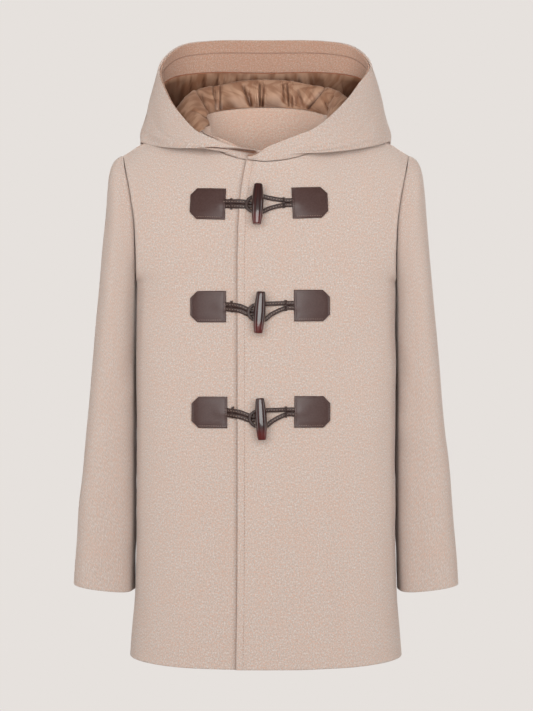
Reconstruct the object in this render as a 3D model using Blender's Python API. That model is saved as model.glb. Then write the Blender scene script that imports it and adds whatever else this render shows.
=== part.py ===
"""Duffle coat with a hood, three toggle fastenings and one-piece sleeves.

Metres, +Z up, the front faces -Y and the wearer's left side is +X.
The origin lies between the shoulders, at the height of the neck's base.
Each wool or satin piece is one wall: an outer and an inner grid of points, closed by its rims.
"""

import math
from collections import namedtuple

import bmesh
import bpy
from mathutils import Vector

# ---------------------------------------------------------------- sizes
WOOL = 0.0025            # thickness of the wool cloth
FACING = 0.0020          # thickness of the hood's facing and of the neck facing
SATIN = 0.0010           # thickness of the satin lining
SEAM = 0.00015           # half of a seam's clearance, taken off each side

HEM_Z = -0.613           # height of the hem
HEM_RISE = 0.0030        # how much higher the hem lies at the side seams
ARMPIT_Z = -0.165        # height of the armpit
SECTION_POWER = 2.4      # squareness of the body's sections
SHOULDER_POWER = 2.2     # squareness of the chest as it turns into the shoulder
BODY_ROWS = 6            # rows from hem to armpit
YOKE_ROWS = 10           # rows from armpit to neckline and shoulder seam

EDGE_SHARE = 0.213       # placket edge, as a share of the half width
UNDER_SHARE = 0.215      # hidden edge of the under front, on the other side
LAP_LIFT = 0.0034        # how far the over front lies out from the under front
LAP_END_SHARE = 0.25     # the over front lies raised up to here
LAP_FADE_SHARE = 0.50    # and has come down to the chest here
NECK_SHARE = 0.62        # column that ends at the neck point

SLEEVE_POWER = 2.2       # squareness of the sleeve's rings
ARMHOLE_GAP = 0.0004     # clearance between armhole and sleeve

HOOD_LIFT = 0.0008       # clearance between neckline and hood
BAND_ROW = 5             # the hood's control row where the facing ends
BAND_GAP = 0.0010        # clearance between the hood's shell and its facing
BEND_STEP = 0.0025       # step for measuring how sharply the hood's profile bends
FOLD_ROUND = 0.30        # how far the fold's outer side stands out, as a share of its reach
ROLL_OUT = 0.0060        # how far the lining's roll bulges into the neck
ROLL_PEAK = 0.0055       # how much higher the roll stands at the back centre
FACING_LEAN = 0.0165     # how far the under side's facing leans out to the hood's rim
LEAN_DROP = 0.10         # how much lower it ends for each metre that it leans

PATCH_SIZE = (0.0410, 0.0362)   # leather patch, width and height
PATCH_CUT = 0.0080              # its two cut corners
PATCH_THICK = 0.0020
PATCH_GAP = 0.0009              # clearance between the front and a patch
STRAP_HEIGHT = 0.0106           # both strands of the doubled strap
STRAP_NECK = 0.0080             # the same where it enters the toggle
STRAP_THICK = 0.0022
LOOP_WIDTH = 0.0050             # one strand of the loop
LOOP_THICK = 0.0022
TOGGLE_LENGTH = 0.0480
TOGGLE_RADIUS = 0.0068
TOGGLE_END = 0.0042
TOGGLE_OUT = 0.0150             # the toggle's axis, out from the front

Section = namedtuple("Section", "z half_width front back")
SECTIONS = (
    Section(-0.613, 0.1622, 0.1180, 0.1120),
    Section(-0.570, 0.1589, 0.1170, 0.1110),
    Section(-0.535, 0.1567, 0.1160, 0.1100),
    Section(-0.465, 0.1550, 0.1145, 0.1085),
    Section(-0.400, 0.1545, 0.1135, 0.1070),
    Section(-0.280, 0.1548, 0.1115, 0.1050),
    Section(-0.165, 0.1552, 0.1090, 0.1030),
)

# Half of the neckline. turn is 0 at the front centre, 1 at the neck point, 2 at the back centre.
Neck = namedtuple("Neck", "turn x y z")
NECKLINE = (
    Neck(0.00, 0.000, -0.0852, -0.0280),
    Neck(0.34, 0.0226, -0.0840, -0.0254),
    Neck(0.58, 0.041, -0.0775, -0.0205),
    Neck(0.76, 0.055, -0.0640, -0.0130),
    Neck(0.90, 0.067, -0.0350, 0.0010),
    Neck(1.00, 0.074, 0.0000, 0.0220),
    Neck(1.15, 0.071, 0.0220, 0.0255),
    Neck(1.35, 0.060, 0.0450, 0.0280),
    Neck(1.60, 0.038, 0.0600, 0.0290),
    Neck(2.00, 0.000, 0.0660, 0.0293),
)

# The shoulder seam runs at y = 0 from the neck point to the shoulder tip.
Shoulder = namedtuple("Shoulder", "share x z")
SHOULDER = (
    Shoulder(0.62, 0.074, 0.0220),
    Shoulder(0.72, 0.100, 0.0155),
    Shoulder(0.82, 0.127, 0.0078),
    Shoulder(0.91, 0.150, 0.0000),
    Shoulder(1.00, 0.1717, -0.0125),
)

# The armhole, from the armpit (rise 0) over the front or the back to the shoulder tip (rise 1).
Armhole = namedtuple("Armhole", "rise x front_y back_y z")
ARMHOLE = (
    Armhole(0.00, 0.1552, 0.000, 0.000, -0.1650),
    Armhole(0.06, 0.1548, -0.020, 0.019, -0.1600),
    Armhole(0.14, 0.1540, -0.036, 0.035, -0.1460),
    Armhole(0.25, 0.1538, -0.048, 0.048, -0.1220),
    Armhole(0.40, 0.1550, -0.053, 0.054, -0.0950),
    Armhole(0.55, 0.1585, -0.050, 0.051, -0.0690),
    Armhole(0.70, 0.1630, -0.041, 0.042, -0.0470),
    Armhole(0.85, 0.1680, -0.024, 0.025, -0.0280),
    Armhole(1.00, 0.1717, 0.000, 0.000, -0.0125),
)

# One row for each ring of the sleeve: its outer and inner point, half depth and middle.
# cap says how much of the armhole's own shape the ring keeps.
Ring = namedtuple("Ring", "outer_x outer_z inner_x inner_z half_depth middle_y cap")
SLEEVE = (
    Ring(0.1717, -0.0125, 0.1552, -0.1650, 0.0530, 0.000, 1.00),
    Ring(0.1806, -0.0185, 0.1559, -0.1680, 0.0560, 0.000, 0.70),
    Ring(0.1862, -0.0300, 0.1563, -0.1720, 0.0572, 0.000, 0.42),
    Ring(0.1891, -0.0500, 0.1567, -0.1790, 0.0570, 0.000, 0.20),
    Ring(0.1918, -0.0850, 0.1571, -0.1930, 0.0560, 0.000, 0.06),
    Ring(0.2001, -0.1750, 0.1576, -0.2450, 0.0530, -0.002, 0.00),
    Ring(0.2057, -0.2400, 0.1577, -0.2880, 0.0510, -0.003, 0.00),
    Ring(0.2118, -0.3050, 0.1577, -0.3380, 0.0495, -0.004, 0.00),
    Ring(0.2190, -0.3850, 0.1577, -0.4030, 0.0470, -0.005, 0.00),
    Ring(0.2240, -0.4400, 0.1580, -0.4540, 0.0455, -0.006, 0.00),
    Ring(0.2297, -0.5190, 0.1598, -0.5270, 0.0431, -0.006, 0.00),
    Ring(0.2300, -0.5258, 0.1600, -0.5340, 0.0428, -0.006, 0.00),
)

# The hood's profiles, one row for each station from the front edge to the back centre.
# turn is the place on the neckline where the profile starts. The five points are the crest
# of the stand, the fold, the outer face, the facing's lower edge and the rim.
Station = namedtuple("Station", "turn crest fold face band rim")
HOOD_OVER = (
    Station(-0.33, (-0.0220, -0.0888, -0.0242), (-0.0218, -0.0898, -0.0233),
            (-0.0216, -0.0907, -0.0223), (-0.0214, -0.0914, -0.0213), (-0.0210, -0.0923, -0.0194)),
    Station(0.14, (0.0093, -0.0896, -0.0245), (0.0096, -0.0908, -0.0220),
            (0.0102, -0.0918, -0.0185), (0.0108, -0.0926, -0.0150), (0.0128, -0.0932, -0.0067)),
    Station(0.44, (0.0308, -0.0870, -0.0205), (0.0316, -0.0890, -0.0182),
            (0.0324, -0.0905, -0.0140), (0.0332, -0.0908, -0.0085), (0.0345, -0.0885, 0.0024)),
    Station(0.72, (0.0550, -0.0710, -0.0120), (0.0625, -0.0810, -0.0168),
            (0.0655, -0.0850, -0.0120), (0.0655, -0.0845, -0.0055), (0.0610, -0.0740, 0.0157)),
    Station(0.88, (0.0745, -0.0530, 0.0070), (0.1000, -0.0640, -0.0118),
            (0.1035, -0.0645, -0.0030), (0.1015, -0.0600, 0.0090), (0.0932, -0.0380, 0.0479)),
    Station(0.96, (0.0860, -0.0200, 0.0290), (0.1300, -0.0300, -0.0035),
            (0.1325, -0.0270, 0.0150), (0.1265, -0.0190, 0.0350), (0.1121, -0.0050, 0.0738)),
    Station(1.06, (0.0940, 0.0160, 0.0460), (0.1500, 0.0200, 0.0037),
            (0.1475, 0.0320, 0.0320), (0.1400, 0.0370, 0.0630), (0.1282, 0.0300, 0.1012)),
    Station(1.25, (0.0780, 0.0500, 0.0580), (0.1320, 0.0900, -0.0220),
            (0.1395, 0.1020, 0.0290), (0.1215, 0.0711, 0.0903), (0.1082, 0.0580, 0.1270)),
    Station(1.56, (0.0480, 0.0730, 0.0630), (0.0820, 0.1340, -0.0520),
            (0.0900, 0.1460, 0.0200), (0.0736, 0.0922, 0.1011), (0.0669, 0.0780, 0.1369)),
    Station(2.00, (0.0000, 0.0800, 0.0650), (0.0000, 0.1480, -0.0640),
            (0.0000, 0.1620, 0.0160), (0.0000, 0.1001, 0.1016), (0.0000, 0.0860, 0.1385)),
)
# The other side as far as the shoulder, mirrored; the rest is as above.
HOOD_UNDER = (
    Station(-0.30, (-0.0200, -0.0843, -0.0240), (-0.0200, -0.0845, -0.0230),
            (-0.0200, -0.0847, -0.0219), (-0.0200, -0.0848, -0.0208), (-0.0200, -0.0848, -0.0185)),
    Station(0.34, (0.0235, -0.0842, -0.0228), (0.0247, -0.0844, -0.0210),
            (0.0262, -0.0846, -0.0186), (0.0282, -0.0846, -0.0158), (0.0319, -0.0842, -0.0104)),
    Station(0.60, (0.0440, -0.0792, -0.0178), (0.0460, -0.0815, -0.0164),
            (0.0485, -0.0832, -0.0138), (0.0510, -0.0838, -0.0102), (0.0557, -0.0815, -0.0033)),
    Station(0.76, (0.0590, -0.0690, -0.0095), (0.0745, -0.0790, -0.0118),
            (0.0780, -0.0812, -0.0080), (0.0790, -0.0805, -0.0040), (0.0780, -0.0720, 0.0080)),
    Station(0.88, (0.0760, -0.0530, 0.0060), (0.1070, -0.0580, -0.0092),
            (0.1100, -0.0585, -0.0025), (0.1085, -0.0570, 0.0035), (0.0976, -0.0480, 0.0281)),
    Station(0.96, (0.0870, -0.0200, 0.0270), (0.1325, -0.0200, -0.0030),
            (0.1340, -0.0190, 0.0100), (0.1300, -0.0180, 0.0220), (0.1189, -0.0150, 0.0590)),
    Station(1.06, (0.0940, 0.0160, 0.0460), (0.1508, 0.0200, 0.0030),
            (0.1485, 0.0320, 0.0320), (0.1412, 0.0370, 0.0600), (0.1305, 0.0290, 0.0975)),
) + HOOD_OVER[7:]
LAST = len(HOOD_OVER) - 1

# Places along a profile: whole numbers are its control points, from the neckline to the rim.
# Point 3 is worked out: it rounds off the fold.
HOOD_KNOTS = (0, 0.45, 0.8, 1, 1.2, 1.5, 1.8, 1.93, 2, 2.5, 3, 3.4, 4, 4.35, 4.7, 5,
              5.5, 6)
HOOD_PLACES = (0, 0.5, 1, 1.5, 2, 2.5, 3, 3.5, 4, 4.5, 5, 5.5, 6, 6.35, 6.7, 7, 7.4, 7.8, 8.2,
               8.6, 9)

# Pleats of the gathered lining: middle in stations from one side to the other, and its reach.
Pleat = namedtuple("Pleat", "place depth")
PLEATS = (
    Pleat(5.90, 0.0014), Pleat(6.45, 0.0018), Pleat(6.84, 0.0026), Pleat(7.08, 0.0032),
    Pleat(7.32, 0.0028), Pleat(8.54, 0.0028), Pleat(8.72, 0.0032), Pleat(8.90, 0.0026),
    Pleat(9.40, 0.0028), Pleat(9.58, 0.0034), Pleat(9.76, 0.0028),
    Pleat(10.62, 0.0026), Pleat(10.88, 0.0032), Pleat(11.14, 0.0030), Pleat(11.60, 0.0018),
    Pleat(12.15, 0.0014),
)
PLEAT_REACH = 0.055
LINING_START = 4.1
FACING_START = 1.6
POUCH_CLEAR = 0.028      # how far the lining's pouch stays above the hood's fold
POUCH_DEPTH = 0.0055     # how far the lining lies inside the hood's outer face
REAR_CLEAR = 0.0030      # how much farther in its rear wall hangs

# Rows of the fastening: heights of the patches and toggle, their middles and tilts (degrees).
Fastening = namedtuple(
    "Fastening", "left_x left_z left_tilt right_x right_z right_tilt toggle_x toggle_z toggle_tilt")
FASTENINGS = (
    Fastening(-0.0668, -0.0775, -2.0, 0.0505, -0.0766, 2.5, -0.0095, -0.0790, 2.0),
    Fastening(-0.0661, -0.1963, 0.0, 0.0527, -0.1952, 0.5, -0.0072, -0.2034, 4.0),
    Fastening(-0.0646, -0.3180, 0.0, 0.0530, -0.3173, -0.5, -0.0056, -0.3251, -3.0),
)

WOOL_COLOR = (0.60, 0.47, 0.39, 1.0)
BAND_COLOR = (0.53, 0.38, 0.30, 1.0)
SATIN_COLOR = (0.38, 0.22, 0.14, 1.0)
LEATHER_COLOR = (0.085, 0.055, 0.050, 1.0)
HORN_COLOR = (0.065, 0.012, 0.010, 1.0)


# ---------------------------------------------------------------- helpers
def clear_scene():
    """Remove every object of the starting scene."""
    for old in list(bpy.data.objects):
        bpy.data.objects.remove(old, do_unlink=True)


def make_material(name, color, roughness, metallic=0.0):
    """Make a plain Principled material."""
    material = bpy.data.materials.new(name)
    material.use_nodes = True
    shader = material.node_tree.nodes["Principled BSDF"]
    shader.inputs["Base Color"].default_value = color
    shader.inputs["Roughness"].default_value = roughness
    shader.inputs["Metallic"].default_value = metallic
    material.diffuse_color = color
    return material


def smooth_step(low, high, value):
    """Rise smoothly from 0 at low to 1 at high."""
    share = min(max((value - low) / (high - low), 0.0), 1.0)
    return share * share * (3.0 - 2.0 * share)


def spline(keys, values, key):
    """Give the value at a key on a smooth curve through values at rising keys."""
    last = len(keys) - 1
    key = min(max(key, keys[0]), keys[last])
    i = 0
    while i < last - 1 and key > keys[i + 1]:
        i += 1

    def slope(j):
        before = max(j - 1, 0)
        after = min(j + 1, last)
        return (values[after] - values[before]) * (1.0 / (keys[after] - keys[before]))

    span = keys[i + 1] - keys[i]
    t = (key - keys[i]) / span
    t2 = t * t
    t3 = t2 * t
    return (values[i] * (2 * t3 - 3 * t2 + 1) + slope(i) * (span * (t3 - 2 * t2 + t))
            + values[i + 1] * (3 * t2 - 2 * t3) + slope(i + 1) * (span * (t3 - t2)))


def column(table, name):
    """Give one named column of a table."""
    return [getattr(row, name) for row in table]


def look_up(table, key_name, value_name, key):
    """Read a named column of a table at a key, smoothly."""
    return spline(column(table, key_name), column(table, value_name), key)


def grid_normals(points, closed):
    """Give the normal of each grid point, from its neighbours along rows and columns."""
    rows = len(points)
    columns = len(points[0])
    normals = []
    for i in range(rows):
        line = []
        for j in range(columns):
            if closed:
                along = points[i][(j + 1) % columns] - points[i][j - 1]
            else:
                along = points[i][min(j + 1, columns - 1)] - points[i][max(j - 1, 0)]
            across = points[min(i + 1, rows - 1)][j] - points[max(i - 1, 0)][j]
            line.append(along.cross(across).normalized())
        normals.append(line)
    return normals


def offset_grid(points, normals, distance):
    """Move each grid point along its normal."""
    return [[p + n * distance for p, n in zip(row, line)] for row, line in zip(points, normals)]


def add_object(name, mesh, material):
    """Link a mesh as a smooth shaded object."""
    made = bpy.data.objects.new(name, mesh)
    bpy.context.scene.collection.objects.link(made)
    mesh.materials.append(material)
    mesh.shade_smooth()
    mesh.set_sharp_from_angle(angle=math.radians(50))
    return made


def add_wall(name, outer, inner, material, closed=False):
    """Make one closed solid between an outer and an inner grid."""
    rows = len(outer)
    columns = len(outer[0])
    shape = bmesh.new()
    out = [[shape.verts.new(p) for p in row] for row in outer]
    inn = [[shape.verts.new(p) for p in row] for row in inner]
    steps = columns if closed else columns - 1
    for i in range(rows - 1):
        for j in range(steps):
            k = (j + 1) % columns
            shape.faces.new((out[i][j], out[i][k], out[i + 1][k], out[i + 1][j]))
            shape.faces.new((inn[i][j], inn[i + 1][j], inn[i + 1][k], inn[i][k]))
    for j in range(steps):
        k = (j + 1) % columns
        shape.faces.new((out[0][j], inn[0][j], inn[0][k], out[0][k]))
        shape.faces.new((out[-1][j], out[-1][k], inn[-1][k], inn[-1][j]))
    if not closed:
        for i in range(rows - 1):
            shape.faces.new((out[i][0], out[i + 1][0], inn[i + 1][0], inn[i][0]))
            shape.faces.new((out[i][-1], inn[i][-1], inn[i + 1][-1], out[i + 1][-1]))
    if shape.calc_volume(signed=True) < 0:
        bmesh.ops.reverse_faces(shape, faces=shape.faces)
    mesh = bpy.data.meshes.new(name)
    shape.to_mesh(mesh)
    shape.free()
    return add_object(name, mesh, material)


# ---------------------------------------------------------------- body
def neckline(turn):
    """Give a point of the neckline; a negative turn is its mirror."""
    size = abs(turn)
    x = look_up(NECKLINE, "turn", "x", size)
    y = look_up(NECKLINE, "turn", "y", size)
    z = look_up(NECKLINE, "turn", "z", size)
    return Vector((math.copysign(x, turn), y, z))


def armhole_point(rise, side):
    """Give a point of the armhole; side is -1 at the front and 1 at the back."""
    y_name = "front_y" if side < 0 else "back_y"
    return Vector((look_up(ARMHOLE, "rise", "x", rise),
                   look_up(ARMHOLE, "rise", y_name, rise) + side * SEAM,
                   look_up(ARMHOLE, "rise", "z", rise)))


def top_point(share, side):
    """Give the end of a body column on the neckline or the shoulder seam."""
    size = abs(share)
    if size <= NECK_SHARE:
        part = size / NECK_SHARE
        point = neckline(part if side < 0 else 2.0 - part)
    else:
        point = Vector((look_up(SHOULDER, "share", "x", size), 0.0,
                        look_up(SHOULDER, "share", "z", size)))
    point.x = math.copysign(point.x, share)
    return point


def section_point(share, z, side):
    """Give a point of the body's section at a height."""
    half_width = look_up(SECTIONS, "z", "half_width", z)
    depth = look_up(SECTIONS, "z", "front" if side < 0 else "back", z)
    reach = (1.0 - abs(share) ** SECTION_POWER) ** (1.0 / SECTION_POWER)
    return Vector((share * half_width, side * depth * reach, z))


def yoke_point(share, rise, side):
    """Give a point above the armpit; rise is 0 at the armpit and 1 at the top edge."""
    def plain(share):
        base = section_point(share, ARMPIT_Z, side)
        top = top_point(share, side)
        # columns that end low at the neck use less of the shoulder's curve
        used = 0.62 + 0.36 * smooth_step(0.15, NECK_SHARE + 0.05, abs(share))
        lift = math.sin(math.pi * rise / 2.0)
        rest = (1.0 - used ** SHOULDER_POWER) ** (1.0 / SHOULDER_POWER)
        depth = (1.0 - (lift * used) ** SHOULDER_POWER) ** (1.0 / SHOULDER_POWER)
        depth = (depth - rest) / (1.0 - rest)
        sway = lift ** 3
        return Vector((base.x + (top.x - base.x) * sway, top.y + (base.y - top.y) * depth,
                       base.z + (top.z - base.z) * lift))

    edge = armhole_point(rise, side) - plain(1.0)
    edge.x = math.copysign(1.0, share) * edge.x
    return plain(share) + edge * abs(share) ** 10


def body_point(share, level, side):
    """Give a point of the body; level is 0 at the hem, 1 at the armpit and 2 at the top."""
    if level <= 1.0:
        hem = HEM_Z + HEM_RISE * share ** 4
        return section_point(share, hem + (ARMPIT_Z - hem) * level, side)
    return yoke_point(share, level - 1.0, side)


def over_lift(share):
    """Tell how far the over front lies out from the under front."""
    return LAP_LIFT * (1.0 - smooth_step(LAP_END_SHARE, LAP_FADE_SHARE, share))


def body_levels():
    """Give the levels of the body's rows."""
    low = [i / BODY_ROWS for i in range(BODY_ROWS)]
    return low + [1.0 + i / YOKE_ROWS for i in range(YOKE_ROWS + 1)]


def column_shares(start, columns):
    """Give column shares from a start to the side, closer together at the side."""
    first = math.asin(start)
    return [math.sin(first + (math.pi / 2.0 - first) * j / (columns - 1)) for j in range(columns)]


def add_front(name, start, mirror, lap, material):
    """Make one front: lap lifts it over the other one, mirror puts it on the -X side."""
    shares = column_shares(start, 12)
    levels = body_levels()
    outer = []
    for level in levels:
        row = []
        for share in shares:
            point = body_point(share, level, -1)
            if lap:
                point.y -= over_lift(share)
            point.y = min(point.y, -SEAM)
            row.append(point)
        outer.append(row)
    normals = grid_normals(outer, False)
    inner = offset_grid(outer, normals, -WOOL)
    for row in inner:
        for point in row:
            point.y = min(point.y, -SEAM)
    if mirror:
        for grid in (outer, inner):
            for row in grid:
                for point in row:
                    point.x = -point.x
    return add_wall(name, outer, inner, material)


def add_back(material):
    """Make the back, from side seam to side seam."""
    half = column_shares(0.0, 9)
    shares = [-s for s in reversed(half[1:])] + half
    outer = []
    for level in body_levels():
        row = []
        for share in shares:
            point = body_point(share, level, 1)
            point.y = max(point.y, SEAM)
            row.append(point)
        outer.append(row)
    normals = grid_normals(outer, False)
    inner = offset_grid(outer, normals, WOOL)
    for row in inner:
        for point in row:
            point.y = max(point.y, SEAM)
    return add_wall("back", outer, inner, material)


# ---------------------------------------------------------------- sleeves
def ring_point(ring, turn):
    """Give a point of a plain ring; turn is 0 at the armpit, 0.25 in front and 0.5 on top."""
    angle = 2.0 * math.pi * turn
    power = 2.0 / SLEEVE_POWER
    along = -math.copysign(abs(math.cos(angle)) ** power, math.cos(angle))
    across = math.copysign(abs(math.sin(angle)) ** power, math.sin(angle))
    x = (ring.outer_x + ring.inner_x) / 2.0 + (ring.outer_x - ring.inner_x) / 2.0 * along
    z = (ring.outer_z + ring.inner_z) / 2.0 + (ring.outer_z - ring.inner_z) / 2.0 * along
    return Vector((x, ring.middle_y - ring.half_depth * across, z))


def add_sleeve(name, mirror, material):
    """Make one sleeve as an open tube that starts on the armhole's own points."""
    turns = []
    edge = []
    for j in range(YOKE_ROWS):
        turns.append(0.5 * j / YOKE_ROWS)
        edge.append(armhole_point(j / YOKE_ROWS, -1))
    for j in range(YOKE_ROWS):
        turns.append(0.5 + 0.5 * j / YOKE_ROWS)
        edge.append(armhole_point(1.0 - j / YOKE_ROWS, 1))
    for point in edge:
        point.x += ARMHOLE_GAP
    outer = []
    for ring in SLEEVE:
        row = []
        for turn, start in zip(turns, edge):
            kept = start - ring_point(SLEEVE[0], turn)
            row.append(ring_point(ring, turn) + kept * ring.cap)
        outer.append(row)
    if mirror:
        for row in outer:
            for point in row:
                point.x = -point.x
    normals = grid_normals(outer, True)
    middle = sum(outer[4], Vector()) / len(outer[4])
    inward = -WOOL if normals[4][0].dot(outer[4][0] - middle) > 0 else WOOL
    inner = offset_grid(outer, normals, inward)
    return add_wall(name, outer, inner, material, closed=True)


# ---------------------------------------------------------------- hood
def station_controls(stations, place, lifted):
    """Give the six control points of the profile at a place between stations."""
    keys = list(range(len(stations)))
    turn = spline(keys, column(stations, "turn"), place)
    start = neckline(turn)
    start.z += HOOD_LIFT
    if lifted:
        start.y -= LAP_LIFT * (1.0 - smooth_step(0.35, 0.8, turn))
    controls = [start]
    for name in ("crest", "fold", "face", "band", "rim"):
        controls.append(spline(keys, [Vector(v) for v in column(stations, name)], place))
    crest, fold, face = controls[1:4]
    up = (face - fold).normalized()
    out = (fold - crest) - up * (fold - crest).dot(up)
    height = (face - fold).length
    reach = min(0.009, 0.4 * height)
    bulge = FOLD_ROUND * reach * smooth_step(0.004, 0.020, height)
    controls.insert(3, fold + up * reach + out.normalized() * bulge)
    return controls


def profile_point(controls, knot):
    """Give a point on the smooth profile through the control points."""
    lengths = [0.0]
    for i in range(1, len(controls)):
        lengths.append(lengths[-1] + (controls[i] - controls[i - 1]).length)
    i = min(int(knot), len(controls) - 2)
    key = lengths[i] + (lengths[i + 1] - lengths[i]) * (knot - i)
    return spline(lengths, controls, key)


def hood_point(side, place, knot):
    """Give a point of the hood's outer face; side is 1 for the over side, -1 for the other."""
    stations = HOOD_OVER if side > 0 else HOOD_UNDER
    point = profile_point(station_controls(stations, place, side > 0), knot)
    point.x *= side
    return point


def hood_normal(side, place, knot):
    """Give the outward normal of the hood's face."""
    step = 0.02
    left = hood_point(side, max(place - step, 0.0), knot)
    right = hood_point(side, min(place + step, LAST), knot)
    low = hood_point(side, place, max(knot - step, 0.0))
    high = hood_point(side, place, min(knot + step, HOOD_KNOTS[-1]))
    normal = (right - left).cross(high - low).normalized()
    return normal * side


def fold_radius(side, place, knot):
    """Give the radius of the profile's bend at a place, from three of its points."""
    stations = HOOD_OVER if side > 0 else HOOD_UNDER
    controls = station_controls(stations, place, side > 0)
    last = len(controls) - 1
    below = min(int(math.ceil(knot)) - 1, last - 1) if knot > 0 else 0
    above = min(int(knot), last - 1)
    steps = []
    for i in (max(below, 0), above):
        steps.append(min(0.5, BEND_STEP / (controls[i + 1] - controls[i]).length))
    before = profile_point(controls, max(knot - steps[0], 0.0))
    here = profile_point(controls, knot)
    after = profile_point(controls, min(knot + steps[1], last))
    area = (here - before).cross(after - here).length
    if area < 1e-12:
        return 1.0
    return (here - before).length * (after - here).length * (after - before).length / (2.0 * area)


def hood_grid(side, places, knots, depth):
    """Give a grid of points that lie a depth inside the hood's outer face."""
    grid = []
    for knot in knots:
        row = []
        for place in places:
            point = hood_point(side, place, knot)
            room = 0.55 * fold_radius(side, place, knot) if depth <= WOOL else depth
            point += hood_normal(side, place, knot) * -min(depth, room)
            if place == LAST:
                point.x = side * SEAM
            row.append(point)
        grid.append(row)
    return grid


def add_hood_side(name, side, material):
    """Make one side of the hood's shell, from its front edge to the centre seam."""
    outer = hood_grid(side, HOOD_PLACES, HOOD_KNOTS, 0.0)
    inner = hood_grid(side, HOOD_PLACES, HOOD_KNOTS, WOOL)
    return add_wall(name, outer, inner, material)


def add_band(material):
    """Make the facing inside the hood's rim, in one strip from front edge to front edge."""
    knots = [k for k in HOOD_KNOTS if k >= BAND_ROW]
    depths = (WOOL + BAND_GAP, WOOL + BAND_GAP + FACING)
    grids = []
    for depth in depths:
        under = hood_grid(-1, HOOD_PLACES[:-1], knots, depth)
        over = hood_grid(1, HOOD_PLACES, knots, depth)
        grids.append([a + list(reversed(b)) for a, b in zip(under, over)])
    for grid in grids:
        for row in grid:
            row[len(HOOD_PLACES) - 1].x = 0.0
    return add_wall("hood_band", grids[0], grids[1], material)


def around(place):
    """Turn a place on the whole way round (0 to 18) into a side and a station place."""
    if place <= LAST:
        return -1, place
    return 1, 2 * LAST - place


def neck_frame(place):
    """Give the neckline's point, its inward direction and its height above for a place."""
    side, own = around(place)
    stations = HOOD_OVER if side > 0 else HOOD_UNDER
    turn = spline(list(range(len(stations))), column(stations, "turn"), own)
    point = neckline(turn)
    ahead = neckline(min(turn + 0.02, 2.0))
    behind = neckline(turn - 0.02)
    run = ahead - behind
    run.z = 0.0
    if own > LAST - 0.01:
        inward = Vector((0.0, -1.0, 0.0))
    else:
        inward = Vector((-run.y, run.x, 0.0)).normalized()
    point.x *= side
    inward.x *= side
    return point, inward


def facing_lean(place):
    """Tell how far the neck facing's top leans out; it meets the rim of the under side."""
    side, own = around(place)
    if side > 0:
        return 0.0
    return FACING_LEAN * smooth_step(1.8, 3.4, own) * (1.0 - smooth_step(3.9, 4.6, own))


def facing_height(place):
    """Tell how far the neck facing stands above the neckline."""
    side, own = around(place)
    stations = HOOD_OVER if side > 0 else HOOD_UNDER
    shell = station_controls(stations, own, side > 0)
    front = min(0.018, 0.8 * (shell[-1].z - shell[0].z))
    back = 0.013 + 0.009 * smooth_step(6.0, 9.0, own)
    plain = front + (back - front) * smooth_step(3.6, 5.2, own)
    return plain - LEAN_DROP * facing_lean(place)


def add_neck_facing(material):
    """Make the wool piece inside the neck, below the gathered lining."""
    steps = 28
    places = [FACING_START + (2 * LAST - 2 * FACING_START) * j / steps for j in range(steps + 1)]
    # each row: share of the height, extra height, inset from the neckline
    rows = ((1.0, 0.0, 0.0050), (0.5, 0.0, 0.0048), (0.0, 0.0, 0.0048), (0.0, -0.014, 0.0052),
            (0.0, -0.044, 0.0046))
    grids = []
    for depth in (0.0, FACING):
        grid = []
        for height, extra, inset in rows:
            row = []
            for place in places:
                point, inward = neck_frame(place)
                side, own = around(place)
                ends = smooth_step(FACING_START, 5.5, own)
                rise = facing_height(place) * height + extra * (0.35 + 0.65 * ends)
                clear = 0.0018 * (1.0 - smooth_step(2.5, 4.5, own)) if side < 0 else 0.0
                shift = inward * (inset + clear + depth - facing_lean(place) * height)
                row.append(point + shift + Vector((0.0, 0.0, rise)))
            grid.append(row)
        grids.append(grid)
    return add_wall("neck_facing", grids[0], grids[1], material)


def lining_places():
    """Give the lining's columns: evenly spread, with extra ones at the pleats."""
    steps = 30
    start = LINING_START
    places = [start + (2 * LAST - 2 * start) * j / steps for j in range(steps + 1)]
    for pleat in PLEATS:
        near = [p for p in places if abs(p - pleat.place) > PLEAT_REACH * 1.3]
        places = near + [pleat.place - PLEAT_REACH, pleat.place, pleat.place + PLEAT_REACH]
    return sorted(places)


def pleat_depth(place):
    """Tell how deep the lining is folded in at a place."""
    depth = 0.0
    for pleat in PLEATS:
        reach = (place - pleat.place) / PLEAT_REACH
        depth += pleat.depth * math.exp(-2.0 * reach * reach)
    return depth


def hood_inside(side, place, knot, depth):
    """Give a point that lies a depth inside the hood's outer face."""
    return hood_point(side, place, knot) - hood_normal(side, place, knot) * depth


def knot_above_fold(controls, length):
    """Give the place on the hood's outer side at a length from the fold."""
    knot = 2
    while knot < len(controls) - 2:
        span = (controls[knot + 1] - controls[knot]).length
        if length <= span:
            break
        length -= span
        knot += 1
    return knot + length / (controls[knot + 1] - controls[knot]).length


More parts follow.
